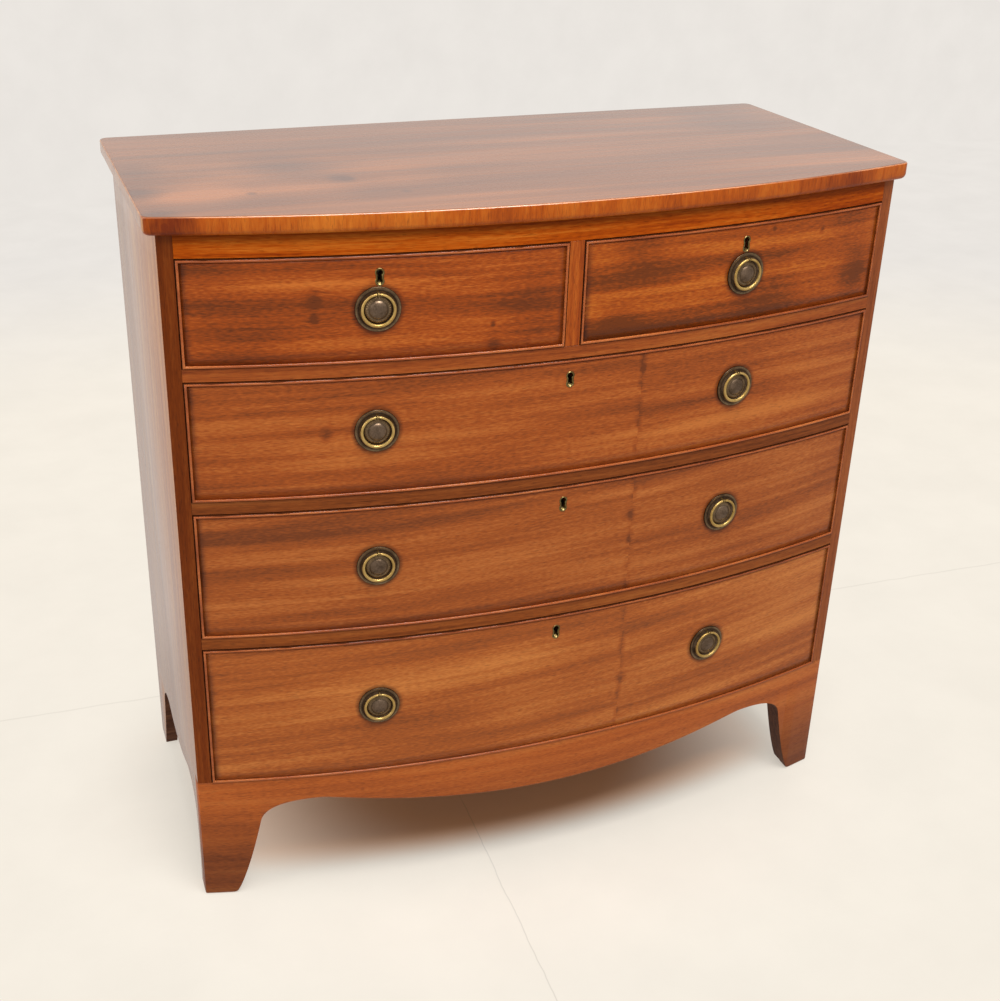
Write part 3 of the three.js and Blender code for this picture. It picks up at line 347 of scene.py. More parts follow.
# French-polished mahogany: a warm red brown whose clear film mirrors the room at a low angle
look_top = wood(
    "french_polished_mahogany_top", "#5e2e14", "#82461a", "#a8602a", TOP_GRAIN, seed=3.1, roughness=0.26, film=1.0,
    pores=0.05, relief=0.0, flat=True, knots=TOP_KNOTS, clouds=TOP_CLOUDS,
)
# The same polish over short grain that stands upright round the edge
look_edge = wood(
    "crossbanded_mahogany_edge", "#6e2600", "#a44a04", "#c06a1a", CROSSBAND_GRAIN, along="Z", seed=1.7, sway=0.004,
    gloss=0.2, film=0.12, contrast=0.75, knots=[(-505, 1019, 3, 0.5)],
    clouds=[(-330, 1019, 70, -0.3), (-180, 1019, 60, -0.2), (-500, 1019, 34, 0.5), (400, 1019, 60, 0.25)],
)
# The top's arris, pale with wear and with a painted highlight: the line of light that its polish catches
look_arris = wood(
    "worn_mahogany_arris_painted_highlight", "#9c5a34", "#cc8c64", "#e0ac8a", BEAD_GRAIN, seed=2.9, gloss=0.4, film=0.5, flat=True,
    clouds=[(-520, -185, 50, 0.6), (330, -175, 130, 0.5)],
)
# The sides' polished boards: upright grain, brown under a film that mirrors the pale room at a low angle
look_side = wood(
    "sun_faded_mahogany_side", "#8c4c28", "#b2703e", "#d09860", SIDE_GRAIN, along="Z", seed=5.3, film=0.8,
)
# Polished mahogany of the frame's thin parts: straight fine grain, each strip from another board. The rails
# darken only along the upper edge: a painted shadow of the bead above.
OPEN_FIELD = (-2000, 2000, -2000)
RAIL = dict(roughness=0.34, contrast=0.8, bowed=True)
STRIPS = {
    "left_stile": dict(
        dark="#4c1c02", mid="#6a2c04", light="#844212", along="Z", seed=5.9, roughness=0.36, gloss=0.12, contrast=0.6,
        fade=(200, 420, 1.2),
    ),
    "right_stile": dict(
        dark="#6a3014", mid="#904a20", light="#a8622e", along="Z", seed=6.4, roughness=0.36, gloss=0.15, contrast=0.7,
    ),
    # The top rail darkens towards its upper edge: a painted shadow of the top's overhang
    "top_rail": dict(
        dark="#7e2c04", mid="#aa4a06", light="#c2681c", seed=7.9, roughness=0.4, gloss=0.05, bowed=True,
        fade=(CASE_HEIGHT, 990, 0.55),
    ),
    "upper_rail": dict(
        dark="#6a2a0a", mid="#944716", light="#ac6026", seed=9.2, gloss=0.2, **RAIL,
        field=(*OPEN_FIELD, SHORT_ROW[0] + FRONT_GAP),
    ),
    "middle_rail": dict(
        dark="#522408", mid="#7e3e14", light="#965422", seed=11.2, gloss=0.15, **RAIL,
        field=(*OPEN_FIELD, UPPER_ROW[0] + FRONT_GAP),
    ),
    "lower_rail": dict(
        dark="#5a280a", mid="#884416", light="#a05a24", seed=12.8, gloss=0.15, **RAIL,
        field=(*OPEN_FIELD, MIDDLE_ROW[0] + FRONT_GAP),
    ),
    "partition": dict(
        dark="#762b06", mid="#9e480e", light="#b8621e", along="Z", seed=2.2, roughness=0.34, gloss=0.2, contrast=0.8,
    ),
}
STRIP_LOOKS = {
    name: wood(f"polished_mahogany_{name}", grain=RAIL_GRAIN, sway=0.008, **look) for name, look in STRIPS.items()
}
# The apron: a plain board whose grain follows the bow, darker towards the floor, and darkened along its upper
# edge by a painted shadow of the lower drawer's bead
look_apron = wood(
    "polished_mahogany_apron", "#803a10", "#ae561a", "#c4702e", seed=13.4, roughness=0.36, gloss=0.25, contrast=0.8,
    fade=(20, 190, 0.5), bowed=True, field=(*OPEN_FIELD, BASE_HEIGHT + FRONT_GAP),
)
# The sawn edge between a side's feet, darkened by dust and never polished
look_raw_edge = wood(
    "grimy_sawn_mahogany_edge", "#361e12", "#563220", "#6c4630", RAIL_GRAIN, seed=8.8, roughness=0.6, gloss=0.1,
    sway=0.008,
)
# Cockbeads: thin rounded strips, smooth and rubbed, which catch a line of light
look_bead = wood(
    "rubbed_mahogany_cockbead", "#642808", "#a05022", "#c47438", BEAD_GRAIN, seed=4.4, roughness=0.26, gloss=0.45,
    sway=0.004, contrast=0.8, pores=0.15, bowed=True,
)


def pull_places(drawer):
    """X and Z of the pulls on a drawer."""
    size = DRAWERS[drawer]
    return [(x, (size["z"][0] + size["z"][1]) / 2 + size["lift"]) for x in size["pulls"]]


# The beads keep a little inside the fronts' edges. The dark strip left free there shows as the shadow gap.
BEAD_KEEPS = (0.5, -0.7, 0.0, -0.8)
BEAD_BOXES, FIELDS = {}, {}
for drawer, size in DRAWERS.items():
    box = (*size["x"], size["z"][0] + FRONT_GAP, size["z"][1] - FRONT_GAP)
    BEAD_BOXES[drawer] = [place + kept for place, kept in zip(box, BEAD_KEEPS)]
    FIELDS[drawer] = [place + sign * BEAD_WIDTH for place, sign in zip(BEAD_BOXES[drawer], (1, -1, 1, -1))]

# Figured mahogany veneer: soft dark ribbons and fine flecks under a worn satin polish, with a joint down the
# long fronts, a few knots, a dark ring round each pull that is polish left there and a painted shadow of its
# plate, and edges darkened by grime and by painted shade beside the beads
VENEER_LOOKS = {
    "lower_drawer": dict(
        dark="#783e1b", mid="#a4541e", light="#c47636", seed=21.0, tilt=3, seam=109, knots=[(112, 296, 7, 0.4)],
        clouds=[(440, 310, 90, -0.14), (330, 300, 90, -0.08), (-50, 320, 70, -0.12)],
    ),
    "middle_drawer": dict(
        dark="#703716", mid="#9b4d1a", light="#ba6c31", seed=33.0, tilt=2, seam=108,
        knots=[(105, 571, 6, 0.4), (107, 531, 4, 0.4)], clouds=[(440, 540, 80, -0.16), (370, 590, 70, -0.12)],
    ),
    "upper_drawer": dict(
        dark="#6a3211", mid="#9b4a16", light="#ba6a2c", seed=47.0, tilt=1, seam=107,
        knots=[(-325, 740, 7, 0.4), (108, 791, 4, 0.4)], clouds=[(380, 770, 80, -0.1)],
    ),
    "short_drawer_left": dict(
        dark="#662e0c", mid="#97420a", light="#bc6522", seed=58.0, contrast=1.15,
        knots=[(-335, 921, 8, 0.5), (-335, 897, 6, 0.45), (-110, 877, 3, 0.6), (-108, 850, 9, 0.45)],
        clouds=[(-470, 950, 40, 0.2), (-420, 860, 50, 0.2), (-60, 900, 40, 0.2)],
    ),
    "short_drawer_right": dict(
        dark="#682f08", mid="#9b4508", light="#bc661c", seed=69.0, contrast=1.15,
        knots=[(385, 951, 4, 0.4), (462, 878, 9, 0.3), (300, 964, 3, 0.5)],
        clouds=[
            (110, 925, 60, 0.16), (458, 880, 26, 0.45), (300, 862, 44, 0.3), (60, 846, 34, 0.4), (90, 968, 30, 0.25),
            (440, 960, 36, 0.25),
        ],
    ),
}
VENEERS = {}
for drawer, look in VENEER_LOOKS.items():
    # The dark rings round the pulls: polish, and painted shadows of the plates
    polish_and_shadow_rings = [(x, z, 36.0) for x, z in pull_places(drawer)]
    look = dict(field=FIELDS[drawer], polish_and_shadow_rings=polish_and_shadow_rings, bowed=True, pores=0.25, gloss=0.25, **look)
    VENEERS[drawer] = wood(f"polished_mahogany_veneer_{drawer}", **look)
# Oak and pine planed and left bare inside: pale, dull and a little dusty. The pine of the fronts and rails is
# stained dark next to the bow's face by polish and hands; where a strip of it shows round a bead, that dark is
# painted shade for the gap.
OAK = ("#735238", "#987250", "#b28f6c")
PINE = ("#825634", "#a87a4c", "#c2966a")
BARE = dict(grain=PLANED_GRAIN, contrast=0.8)
look_oak = wood("planed_oak_drawer_back", *OAK, seed=14.0, roughness=0.6, gloss=0.3, **BARE)
look_oak_side = wood("planed_oak_drawer_side", *OAK, along="Y", seed=14.6, roughness=0.6, gloss=0.3, **BARE)
look_pine = wood("planed_pine", *PINE, seed=15.0, roughness=0.62, gloss=0.3, **BARE)
look_pine_front = wood(
    "planed_pine_stain_and_gap_shade_at_front", *PINE, seed=16.0, roughness=0.62, gloss=0.02, stain_and_gap_shade=True, **BARE,
)
# Pine below, dark with the dust of years
look_dark_pine = wood(
    "grimy_pine_underside", "#2c170c", "#4a2a18", "#5e3a24", seed=17.0, roughness=0.7, gloss=0.2, **BARE,
)
# Stamped brass plate gone brown: handling keeps its rim and its beaded band brighter than the hollows
PLATE_RINGS = [
    (0, "#846e5c"), (0.36, "#8c745e"), (0.415, "#725e4a"), (0.46, "#967c5e"), (0.57, "#8a704e"), (0.6, "#33271c"),
    (0.65, "#7c6450"), (0.8, "#846a50"), (0.845, "#504030"), (0.9, "#7c644e"), (0.955, "#a88c68"), (0.98, "#6c5640"),
    (1, "#423226"),
]
look_plate = metal(
    "aged_stamped_brass_plate", "#b4b0aa", "#ffffff", 0.36, patch=2.0, relief=0.08, metallic=0.9, radial=PLATE_RINGS,
)
# Turned brass ring, kept bright by hands
look_ring = metal("handled_brass_ring", "#ac8844", "#ccaa66", 0.34, patch=6.0, relief=0.02, metallic=0.6)
# The post's knuckle, which hands don't reach, duller than the ring
look_knuckle = metal("dull_brass_knuckle", "#7a6238", "#a08650", 0.4, patch=3.0, relief=0.05, metallic=0.8)
# Brass thread let in round the keyhole, dull where polish has filled it
look_escutcheon = metal("dull_brass_keyhole_thread", "#70603a", "#a08a58", 0.35, patch=2.0, relief=0.05)
# Filed iron lock and hand-cut bolts, dark and dry
look_lock = metal("dull_filed_iron", "#33302b", "#6c6558", 0.5)


# ---------------------------------------------------------------- top
def top_outline(inset, steps=160, corner_steps=10, overhang_side=15.0, overhang_front=12.0, corner=12.0):
    """The top's outline: an arc concentric with the bow in front, a quarter of a small circle at each
    corner, and straight sides and back, all drawn in by one amount."""
    radius = BOW_RADIUS + overhang_front - inset
    side = HALF_WIDTH + overhang_side - inset
    back = BACK_Y + 2.0 - inset * 0.3
    round_ = corner - inset
    centre_x = side - round_
    reach = math.sqrt((radius - round_) ** 2 - centre_x**2)
    front_angle = math.atan2(centre_x, reach)
    t = np.linspace(-front_angle, front_angle, steps)
    front = np.stack([radius * np.sin(t), BOW_CENTRE_Y - radius * np.cos(t)], -1)
    t = np.linspace(front_angle, math.pi / 2, corner_steps)[1:]
    right = np.stack([centre_x + round_ * np.sin(t), BOW_CENTRE_Y - reach - round_ * np.cos(t)], -1)
    rear_y = np.linspace(right[-1, 1], back - round_, 12)[1:]
    right_side = np.stack([np.full_like(rear_y, side), rear_y], -1)
    t = np.linspace(0, math.pi / 2, corner_steps)[1:]
    rear_corner = np.stack([centre_x + round_ * np.cos(t), back - round_ + round_ * np.sin(t)], -1)
    half = np.concatenate([right, right_side, rear_corner])
    left = half[::-1] * [-1, 1]
    rear_x = np.linspace(centre_x, -centre_x, 24)[1:-1]
    rear = np.stack([rear_x, np.full_like(rear_x, back)], -1)
    return np.concatenate([front, half, rear, left])


def top_levels(upper=2.6, lower=8.0, steps=7):
    """Pairs of drawing-in and height up the edge: a quarter circle below, and a tighter one above."""
    t = np.linspace(0, math.pi / 2, steps)
    below = np.stack([lower * (1 - np.sin(t)), CASE_HEIGHT + lower * (1 - np.cos(t))], -1)
    above = np.stack([upper * (1 - np.sin(t)), CASE_HEIGHT + TOP_THICKNESS - upper * (1 - np.cos(t))], -1)[::-1]
    return np.concatenate([[[lower + 1, CASE_HEIGHT]], below, above, [[upper + 1, CASE_HEIGHT + TOP_THICKNESS]]])


def top_loop(inset, z):
    """The top's outline, drawn in and at a height."""
    outline = top_outline(inset)
    return np.column_stack([outline, np.full(len(outline), z)])


# The polished face, the crossband round the edge, the sides' polish on the ends, and the arris in front,
# pale with wear and a painted highlight
FACE, CROSSBAND, END, ARRIS = range(4)
top_points = np.stack([top_loop(*level) for level in top_levels()])
top_looks = [look_top, look_edge, look_side, look_arris]
top_board = piece("top_board", [surface(top_points)], "case", top_looks, sharp=60)
mark_faces(top_board, 2, -0.9, 0.5, CROSSBAND)
mark_faces(top_board, 2, 0.5, 0.85, ARRIS)
mark_faces(top_board, 2, 0.5, 0.85, END, beyond=(1, FRONT_CORNER_Y + 1.5))
for low, high in ((-2, -0.85), (0.85, 2)):
    mark_faces(top_board, 0, low, high, END)
mark_faces(top_board, 1, 0.6, 2, FACE)
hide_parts("top")


# ---------------------------------------------------------------- base and sides
def bezier(points, count):
    """A Bezier curve's points: the sum of the control points, each times its Bernstein polynomial."""
    points = np.asarray(points, float)
    order = len(points) - 1
    t = np.linspace(0, 1, count)[:, None]
    return sum(math.comb(order, k) * t**k * (1 - t) ** (order - k) * points[k] for k in range(order + 1))


def arch_half(width, bend, neck, peak, middle, count=22):
    """Half of an arched edge: the foot's inner edge, the shoulder up to the peak, and the fall to the middle."""
    lean = (neck[0] - bend[0]) / (neck[1] - bend[1])
    reach = middle[0] - peak[0]
    inner = bezier([(width, 0), bend, neck], count)
    shoulder = bezier([neck, (neck[0] + lean * (peak[1] - neck[1]), peak[1]), peak], count)
    swoop = bezier([peak, (peak[0] + 0.072 * reach, peak[1]), (peak[0] + 0.45 * reach, middle[1]), middle], 2 * count)
    return np.concatenate([inner, shoulder[1:], swoop[1:]])


# The arch between the front feet: a foot's width, its inner edge's bend and neck, the peak and the middle
FRONT_ARCH = (45, (63, 35), (84, 131), (170, 165.5), (HALF_WIDTH, 131))


def apron_points(thickness=APRON_THICKNESS, edge=1.4):
    """Sections of the apron along the bow. Each is a loop with rounded lower edges between the arch and the
    base's height, drawn in by a little at both ends."""
    arch = arch_half(*FRONT_ARCH)
    foot = np.stack([np.array([0, 0.4, 1.4, 10, 20, 30, 36]), np.zeros(7)], -1)
    toe = bezier([(39, 0), (45.6, 0), (47.9, 6.3)], 8)
    half = np.concatenate([foot, toe, arch[arch[:, 1] > 8]])
    x = np.concatenate([half[:, 0] - HALF_WIDTH, HALF_WIDTH - half[-2::-1, 0]])
    low = np.concatenate([half[:, 1], half[-2::-1, 1]])
    end = np.minimum(np.abs(x + HALF_WIDTH), np.abs(x - HALF_WIDTH))
    drawn = edge - np.sqrt(np.maximum(edge**2 - np.maximum(edge - end, 0) ** 2, 0))
    round_ = edge + 1.8 * np.exp(-low / 12)
    t = np.linspace(0, math.pi / 2, 5)
    rise, run = round_ * (1 - np.sin(t))[:, None], round_ * (1 - np.cos(t))[:, None]
    bottom = low + drawn * 0.3
    bottom_front = list(zip(drawn + run, bottom + rise))
    bottom_back = list(zip(thickness - rise, bottom + run))
    top = ((thickness, BASE_HEIGHT), (drawn + 0.5, BASE_HEIGHT), (drawn, BASE_HEIGHT - 0.5))
    loop = [*bottom_front, *bottom_back, *((inset, np.full_like(x, z)) for inset, z in top)]
    return np.stack([bent(x, inset, z) for inset, z in loop], 1)


apron = piece("apron_board", [surface(apron_points())], "case", [look_apron, look_raw_edge])
mark_faces(apron, 0, -2, -0.5, 1, beyond=(0, 0))
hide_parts("apron")


def foot_lining_points(side, depth=14.0, width=12.0):
    """A strip behind a front foot's inner edge: a rectangle carried up the arch's edge to its shoulder."""
    path = arch_half(*FRONT_ARCH)
    path = path[(path[:, 1] > 4) & (path[:, 0] < 125)]
    x = side * (HALF_WIDTH - path[:, 0, None] + width * np.array([0, 0, 1, 1]))
    inset = APRON_THICKNESS - 0.5 + depth * np.array([0, 1, 1, 0])
    return bent(x, inset, path[:, 1, None] - 0.4)


for side, name in ((-1, "left"), (1, "right")):
    lining = [surface(foot_lining_points(side))]
    piece(f"front_foot_lining_{name}", lining, "case", look_raw_edge, sharp=30)


def drawn_in(outline, amount):
    """A closed outline moved inwards: each point by the amount along the mitre of its two edges' normals."""
    ways = outline - np.roll(outline, 1, 0), np.roll(outline, -1, 0) - outline
    a, b = (np.stack([way[:, 1], -way[:, 0]], -1) / np.linalg.norm(way, axis=1)[:, None] for way in ways)
    mitre = (a + b) / (1 + np.sum(a * b, 1))[:, None]
    return outline - amount * mitre


def side_outline(x, rear):
    """A side board's outline in Y and Z at a place across its thickness, where the front follows the bow.
    Each half of its arch has five values, as the apron's has."""
    front = float(bow_y(x))
    recess = float(bow_y(x, APRON_THICKNESS + JOINT_GAP))
    depth = BACK_Y - FRONT_CORNER_Y
    middle = 0.49 * depth
    rise = arch_half(36, (27, 60), (38, 120), (100, 160), (middle, 139)) + [FRONT_CORNER_Y, 0]
    fall = arch_half(43, (62, 35), (80, 112), (145, 150), (depth - middle, 139)) * [-1, 1] + [BACK_Y, 0]
    sill = BASE_HEIGHT + JOINT_GAP
    rest = [
        (BACK_Y, 0), (BACK_Y, REBATE_Z), (rear, REBATE_Z + JOINT_GAP), (rear, CASE_HEIGHT), (front, CASE_HEIGHT),
        (front, sill), (recess, sill), (recess, 0),
    ]
    return np.concatenate([rise, fall[-2::-1], rest])


def side_points(side):
    """Outlines of a side board from its outer face inwards, with the outer edges rounded and the rebate
    for the back in its inner part."""
    rings = [
        (HALF_WIDTH, 1.0, BACK_Y), (HALF_WIDTH - 0.3, 0.3, BACK_Y), (HALF_WIDTH - 1.0, 0.0, BACK_Y),
        (REBATE_X + 0.1, 0.0, BACK_Y), (REBATE_X, 0.0, REBATE_Y), (HALF_INNER, 0.0, REBATE_Y),
    ]
    made = []
    for x, amount, rear in rings:
        outline = drawn_in(side_outline(x, rear), amount)
        outline[:, 1] = np.maximum(outline[:, 1], 0)
        made.append(np.column_stack([np.full(len(outline), side * x), outline]))
    return np.stack(made)


# What faces forwards is a stile, except below and behind, where it is the arch's sawn edge
for side, name, stile in ((-1, "side_left", "left_stile"), (1, "side_right", "right_stile")):
    looks = [look_side, STRIP_LOOKS[stile], look_raw_edge]
    board = piece(f"{name}_board", [surface(side_points(side))], "case", looks)
    mark_faces(board, 1, -2, -0.6, 1)
    mark_faces(board, 1, -2, -0.3, 2, beyond=(1, -100))
    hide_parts(name)


# ---------------------------------------------------------------- rails
def facing_points(half_width, z0, z1, steps):
    """A thin bowed facing: a loop with eased front edges, carried along X."""
    loop = np.array([(-SKIN, z0 + 0.4), (-SKIN, z1 - 0.4), (0.25, z1), (1.2, z1), (1.2, z0), (0.25, z0)])
    x = np.linspace(-half_width, half_width, steps)[:, None]
    return bent(x, loop[None, :, 0], loop[None, :, 1])


RAILS = {
    "top_rail": ("top_rail", SHORT_ROW[1], CASE_HEIGHT), "divider_upper": ("upper_rail", UPPER_ROW[1], SHORT_ROW[0]),
    "divider_middle": ("middle_rail", MIDDLE_ROW[1], UPPER_ROW[0]),
    "divider_lower": ("lower_rail", LOWER_ROW[1], MIDDLE_ROW[0]),
}
for name, (look, z0, z1) in RAILS.items():
    facing = surface(facing_points(HALF_INNER - JOINT_GAP, z0, z1, 120))
    piece(f"{name}_facing", [facing], "case", STRIP_LOOKS[look])
facing = surface(facing_points(PARTITION_HALF, *SHORT_ROW, 6))
piece("partition_facing", [facing], "case", STRIP_LOOKS["partition"])


# ---------------------------------------------------------------- drawer fronts
# Half of the keyhole's height, and the radii of its head and foot
KEY_REACH, KEY_HEAD, KEY_FOOT = 11.4, 5.9, 5.8


def keyhole(wall, count=400):
    """A keyhole's outline: arcs of the head and of the foot, joined by the straight waist, less the wall."""
    head, foot, waist = KEY_HEAD - wall, KEY_FOOT - wall, 4.7 - wall
    head_z, foot_z = KEY_REACH - KEY_HEAD, KEY_FOOT - KEY_REACH
    turn_head, turn_foot = math.acos(waist / head), math.acos(waist / foot)
    t = np.linspace(-turn_head, math.pi + turn_head, count // 2)
    upper = np.stack([head * np.cos(t), head_z + head * np.sin(t)], -1)
    t = np.linspace(math.pi - turn_foot, 2 * math.pi + turn_foot, count // 2)
    lower = np.stack([foot * np.cos(t), foot_z + foot * np.sin(t)], -1)
    return np.concatenate([upper, lower])


def keyhole_at(angles, wall):
    """The keyhole's outline at given angles round its middle, read off its radius as a function of angle."""
    outline = keyhole(wall)
    around = np.arctan2(outline[:, 1], outline[:, 0])
    order = np.argsort(around)
    radius = np.interp(angles, around[order], np.hypot(*outline[order].T), period=2 * math.pi)
    return np.stack([radius * np.cos(angles), radius * np.sin(angles)], -1)


def veneer(x0, x1, z0, z1, key_x, key_z, half=(8.0, 14.0), cells=(8, 12), rings=4):
    """A bowed sheet as a grid over X and Z. The cells round the keyhole are left out, and rings that run
    from their outline to the keyhole's fill the gap."""
    def spread(low, high, middle, reach, count, pitch):
        """Places from low to high, with a given count of cells round the middle."""
        left = np.linspace(low, middle - reach, max(3, int((middle - reach - low) / pitch)))
        right = np.linspace(middle + reach, high, max(3, int((high - middle - reach) / pitch)))
        inside = np.linspace(middle - reach, middle + reach, count + 1)[1:-1]
        return np.concatenate([left, inside, right]), len(left) - 1

    xs, i0 = spread(x0, x1, key_x, half[0], cells[0], 8.0)
    zs, j0 = spread(z0, z1, key_z, half[1], cells[1], 12.0)
    i1, j1 = i0 + cells[0], j0 + cells[1]
    gx, gz = np.meshgrid(xs, zs, indexing="ij")
    i, j = np.meshgrid(np.arange(len(xs) - 1), np.arange(len(zs) - 1), indexing="ij")
    kept = ~((i >= i0) & (i < i1) & (j >= j0) & (j < j1))
    i, j = i[kept], j[kept]
    n = len(zs)
    quads = np.stack([i * n + j, (i + 1) * n + j, (i + 1) * n + j + 1, i * n + j + 1], -1).tolist()
    a, b = np.arange(i0, i1), np.arange(j0, j1)
    border = np.concatenate([a * n + j0, i1 * n + b, (a[::-1] + 1) * n + j1, i0 * n + b[::-1] + 1])
    flat = np.stack([gx.ravel(), gz.ravel()], -1)
    outer = flat[border] - [key_x, key_z]
    inner = keyhole_at(np.arctan2(outer[:, 1], outer[:, 0]), -0.05)
    share = np.linspace(0, 1, rings + 1)[1:, None, None]
    between = outer[None] * (1 - share) + inner[None] * share + [key_x, key_z]
    count = len(border)
    index = np.concatenate([border, len(flat) + np.arange(rings * count)]).reshape(rings + 1, count)
    after = np.roll(index, -1, 1)
    quads += np.stack([index[:-1], after[:-1], after[1:], index[1:]], -1).reshape(-1, 4).tolist()
    flat = np.concatenate([flat, between.reshape(-1, 2)])
    return bent(flat[:, 0], -SKIN, flat[:, 1]), quads


def bead_points(x0, x1, z0, z1, seed):
    """A cockbead round a drawer: a rounded bar carried round a rectangle, mitred at its corners, whose
    height waves by a tenth of a millimetre from wear."""
    t = np.linspace(0, math.pi / 2, 5)
    left = np.stack([-0.48 - 1.1 * np.cos(t), -1.1 - 1.1 * np.sin(t)], -1)
    profile = np.concatenate([[[-1.58, 0.9]], left, left[::-1] * [-1, 1], [[1.58, 0.9]]])
    half = BEAD_WIDTH / 2
    xa, xb, za, zb = x0 + half, x1 - half, z0 + half, z1 - half
    across = np.linspace(xa, xb, int((xb - xa) / 7))[1:-1]
    up = np.linspace(za, zb, int((zb - za) / 12))[1:-1]
    flat, upright = np.ones_like(across), np.ones_like(up)
    runs = [
        ([xa], [za], (-1, -1)), (across, za * flat, (0, -1)), ([xb], [za], (1, -1)), (xb * upright, up, (1, 0)),
        ([xb], [zb], (1, 1)), (across[::-1], zb * flat, (0, 1)), ([xa], [zb], (-1, 1)),
        (xa * upright, up[::-1], (-1, 0)),
    ]
    x = np.concatenate([run[0] for run in runs])
    z = np.concatenate([run[1] for run in runs])
    out = np.concatenate([np.tile(run[2], (len(run[0]), 1)) for run in runs])
    way = x * 0.07 + z * 0.09 + seed
    wear = 0.07 * np.sin(way) + 0.06 * np.sin(2.3 * way + 1) + 0.04 * np.sin(5.1 * way)
    px = x[:, None] + profile[None, :, 0] * out[:, None, 0]
    pz = z[:, None] + profile[None, :, 0] * out[:, None, 1]
    depth = profile[None, :, 1]
    return bent(px, depth + np.where(depth < 0, wear[:, None], 0), pz)


def escutcheon_points(key_x, key_z):
    """A keyhole's brass thread: its outline, carried through a section that has a rounded rim at the face
    and runs back to the lock. Inside, its foot slopes up."""
    section = [
        (0, 2.9, 0), (0, -0.2, 0), (0.3, -0.5, 0), (1.4, -0.5, 0), (1.9, -0.1, 0), (2.1, 0.6, 0.4), (2.3, 2, 1.4),
        (2.5, 5, 3), (2.6, 12.5, 4), (2.3, 12.5, 4), (1.5, 2.9, 0),
    ]
    loops = []
    for wall, depth, sill in section:
        loop = keyhole(wall, 96)
        loops.append(bent(loop[:, 0] + key_x, depth, np.maximum(loop[:, 1], sill - KEY_REACH + wall) + key_z))
    return np.stack(loops, 1)


# ---------------------------------------------------------------- ring pulls
RING_RADIUS = 20.35
PLATE_RADIUS = 29.2
STANDOFF = 6.15


def on_face(points, x, z):
    """Turns points about Z by the bow's angle at X and moves them there. Their -Y then points out of the front."""
    angle = math.asin(x / BOW_RADIUS)
    c, s = math.cos(angle), math.sin(angle)
    return points @ np.array([[c, s, 0], [-s, c, 0], [0, 0, 1]]) + [x, float(bow_y(x)), z]


def plate_points(steps=256, beads=32):
    """A round plate: a profile of radius and height turned about Y, whose beaded band rises and falls as
    the sine of the angle."""
    profile = np.array([
        (29.1, 0.3), (PLATE_RADIUS, 1.2), (29.05, 1.9), (28.6, 2.3), (28.0, 2.35), (27.5, 2.1), (26.8, 1.95),
        (25.8, 2.1), (25.0, 2.3), (24.4, 2.1), (23.9, 1.75), (23.0, 1.6), (20.5, 1.55), (18.2, 1.6), (17.5, 1.8),
        (17.3, 2.6), (17.25, 3.4), (17.05, 3.9), (16.6, 4.2), (16.1, 4.35), (15.6, 4.5), (15.1, 4.6), (14.6, 4.65),
        (14.1, 4.7), (13.6, 4.75), (13.1, 4.8), (12.6, 4.85), (12.1, 4.95), (11.6, 5.4), (10.9, 6.0), (9.9, 6.65),
        (8.6, 7.25), (7.2, 7.75), (5.6, 8.15), (4.0, 8.42), (2.4, 8.56), (1.0, 8.62), (0.05, 8.63),
    ])
    t = whole_turn(steps)
    r, h = profile[:, 0, None], profile[:, 1, None]
    band = np.exp(-(((r - 14.8) / 0.9) ** 2))
    h = h + band * (0.7 * np.abs(np.sin(beads * t / 2))[None] - 0.2)
    points = np.stack([r * np.cos(t), -h, r * np.sin(t)], -1)
    return points, np.repeat(profile[:, 0] / PLATE_RADIUS, steps)


def turned(axis, profile, steps, centre):
    """A profile of places along an axis, 0 for X or 1 for Y, and of radii, turned about it."""
    t = whole_turn(steps)
    place, r = profile[:, 0, None], profile[:, 1, None]
    around = [r * np.cos(t), r * np.sin(t)]
    around.insert(axis, np.broadcast_to(place, around[0].shape))
    return np.stack(around, -1) + centre


def ring_points(steps=150, around=28, gap=2.3, pin_radius=0.55):
    """A ring that thickens towards its lowest point: a circle carried round a circle that is open at the
    top, where both ends narrow to pins that run in towards the post."""
    opening = math.asin(gap / RING_RADIUS)
    a = np.linspace(opening, 2 * math.pi - opening, steps)
    bar = 1.62 + 0.55 * (1 - np.cos(a)) / 2
    out = np.stack([np.sin(a), np.cos(a)], -1)
    pin = np.array([(0.7, RING_RADIUS), (gap, RING_RADIUS)])
    path = np.concatenate([pin, RING_RADIUS * out, pin[::-1] * [-1, 1]])
    radius = np.concatenate([[pin_radius] * 2, bar, [pin_radius] * 2])
    outward = np.concatenate([[(0, 1)] * 2, out, [(0, 1)] * 2])
    t = whole_turn(around)
    x = path[:, 0, None] + radius[:, None] * np.cos(t) * outward[:, 0, None]
    z = path[:, 1, None] + radius[:, None] * np.cos(t) * outward[:, 1, None]
    y = -STANDOFF + radius[:, None] * np.sin(t)
    return np.stack([x, np.broadcast_to(y, x.shape), z], -1)


# Profiles of the pulls' turned parts: a place along the axis and a radius
KNUCKLE = np.array([
    (-1.2, 0.3), (-1.2, 1.9), (-1.0, 2.25), (-0.6, 2.4), (0, 2.45), (0.6, 2.4), (1.0, 2.25), (1.2, 1.9), (1.2, 0.3),
])
STEM = np.array([(-STANDOFF + 0.5, 0.3), (-STANDOFF + 0.5, 1.6), (-1.0, 1.7), (-1.0, 0.3)])
BOLT = np.array([(-1.0, 0.4), (-1.0, 2.5), (30.4, 2.5), (31.0, 1.9), (31.0, 0.4)])
NUT = np.array([(22.7, 3.0), (22.7, 6.2), (23.0, 6.5), (26.3, 6.5), (26.7, 6.2), (26.7, 3.0)])


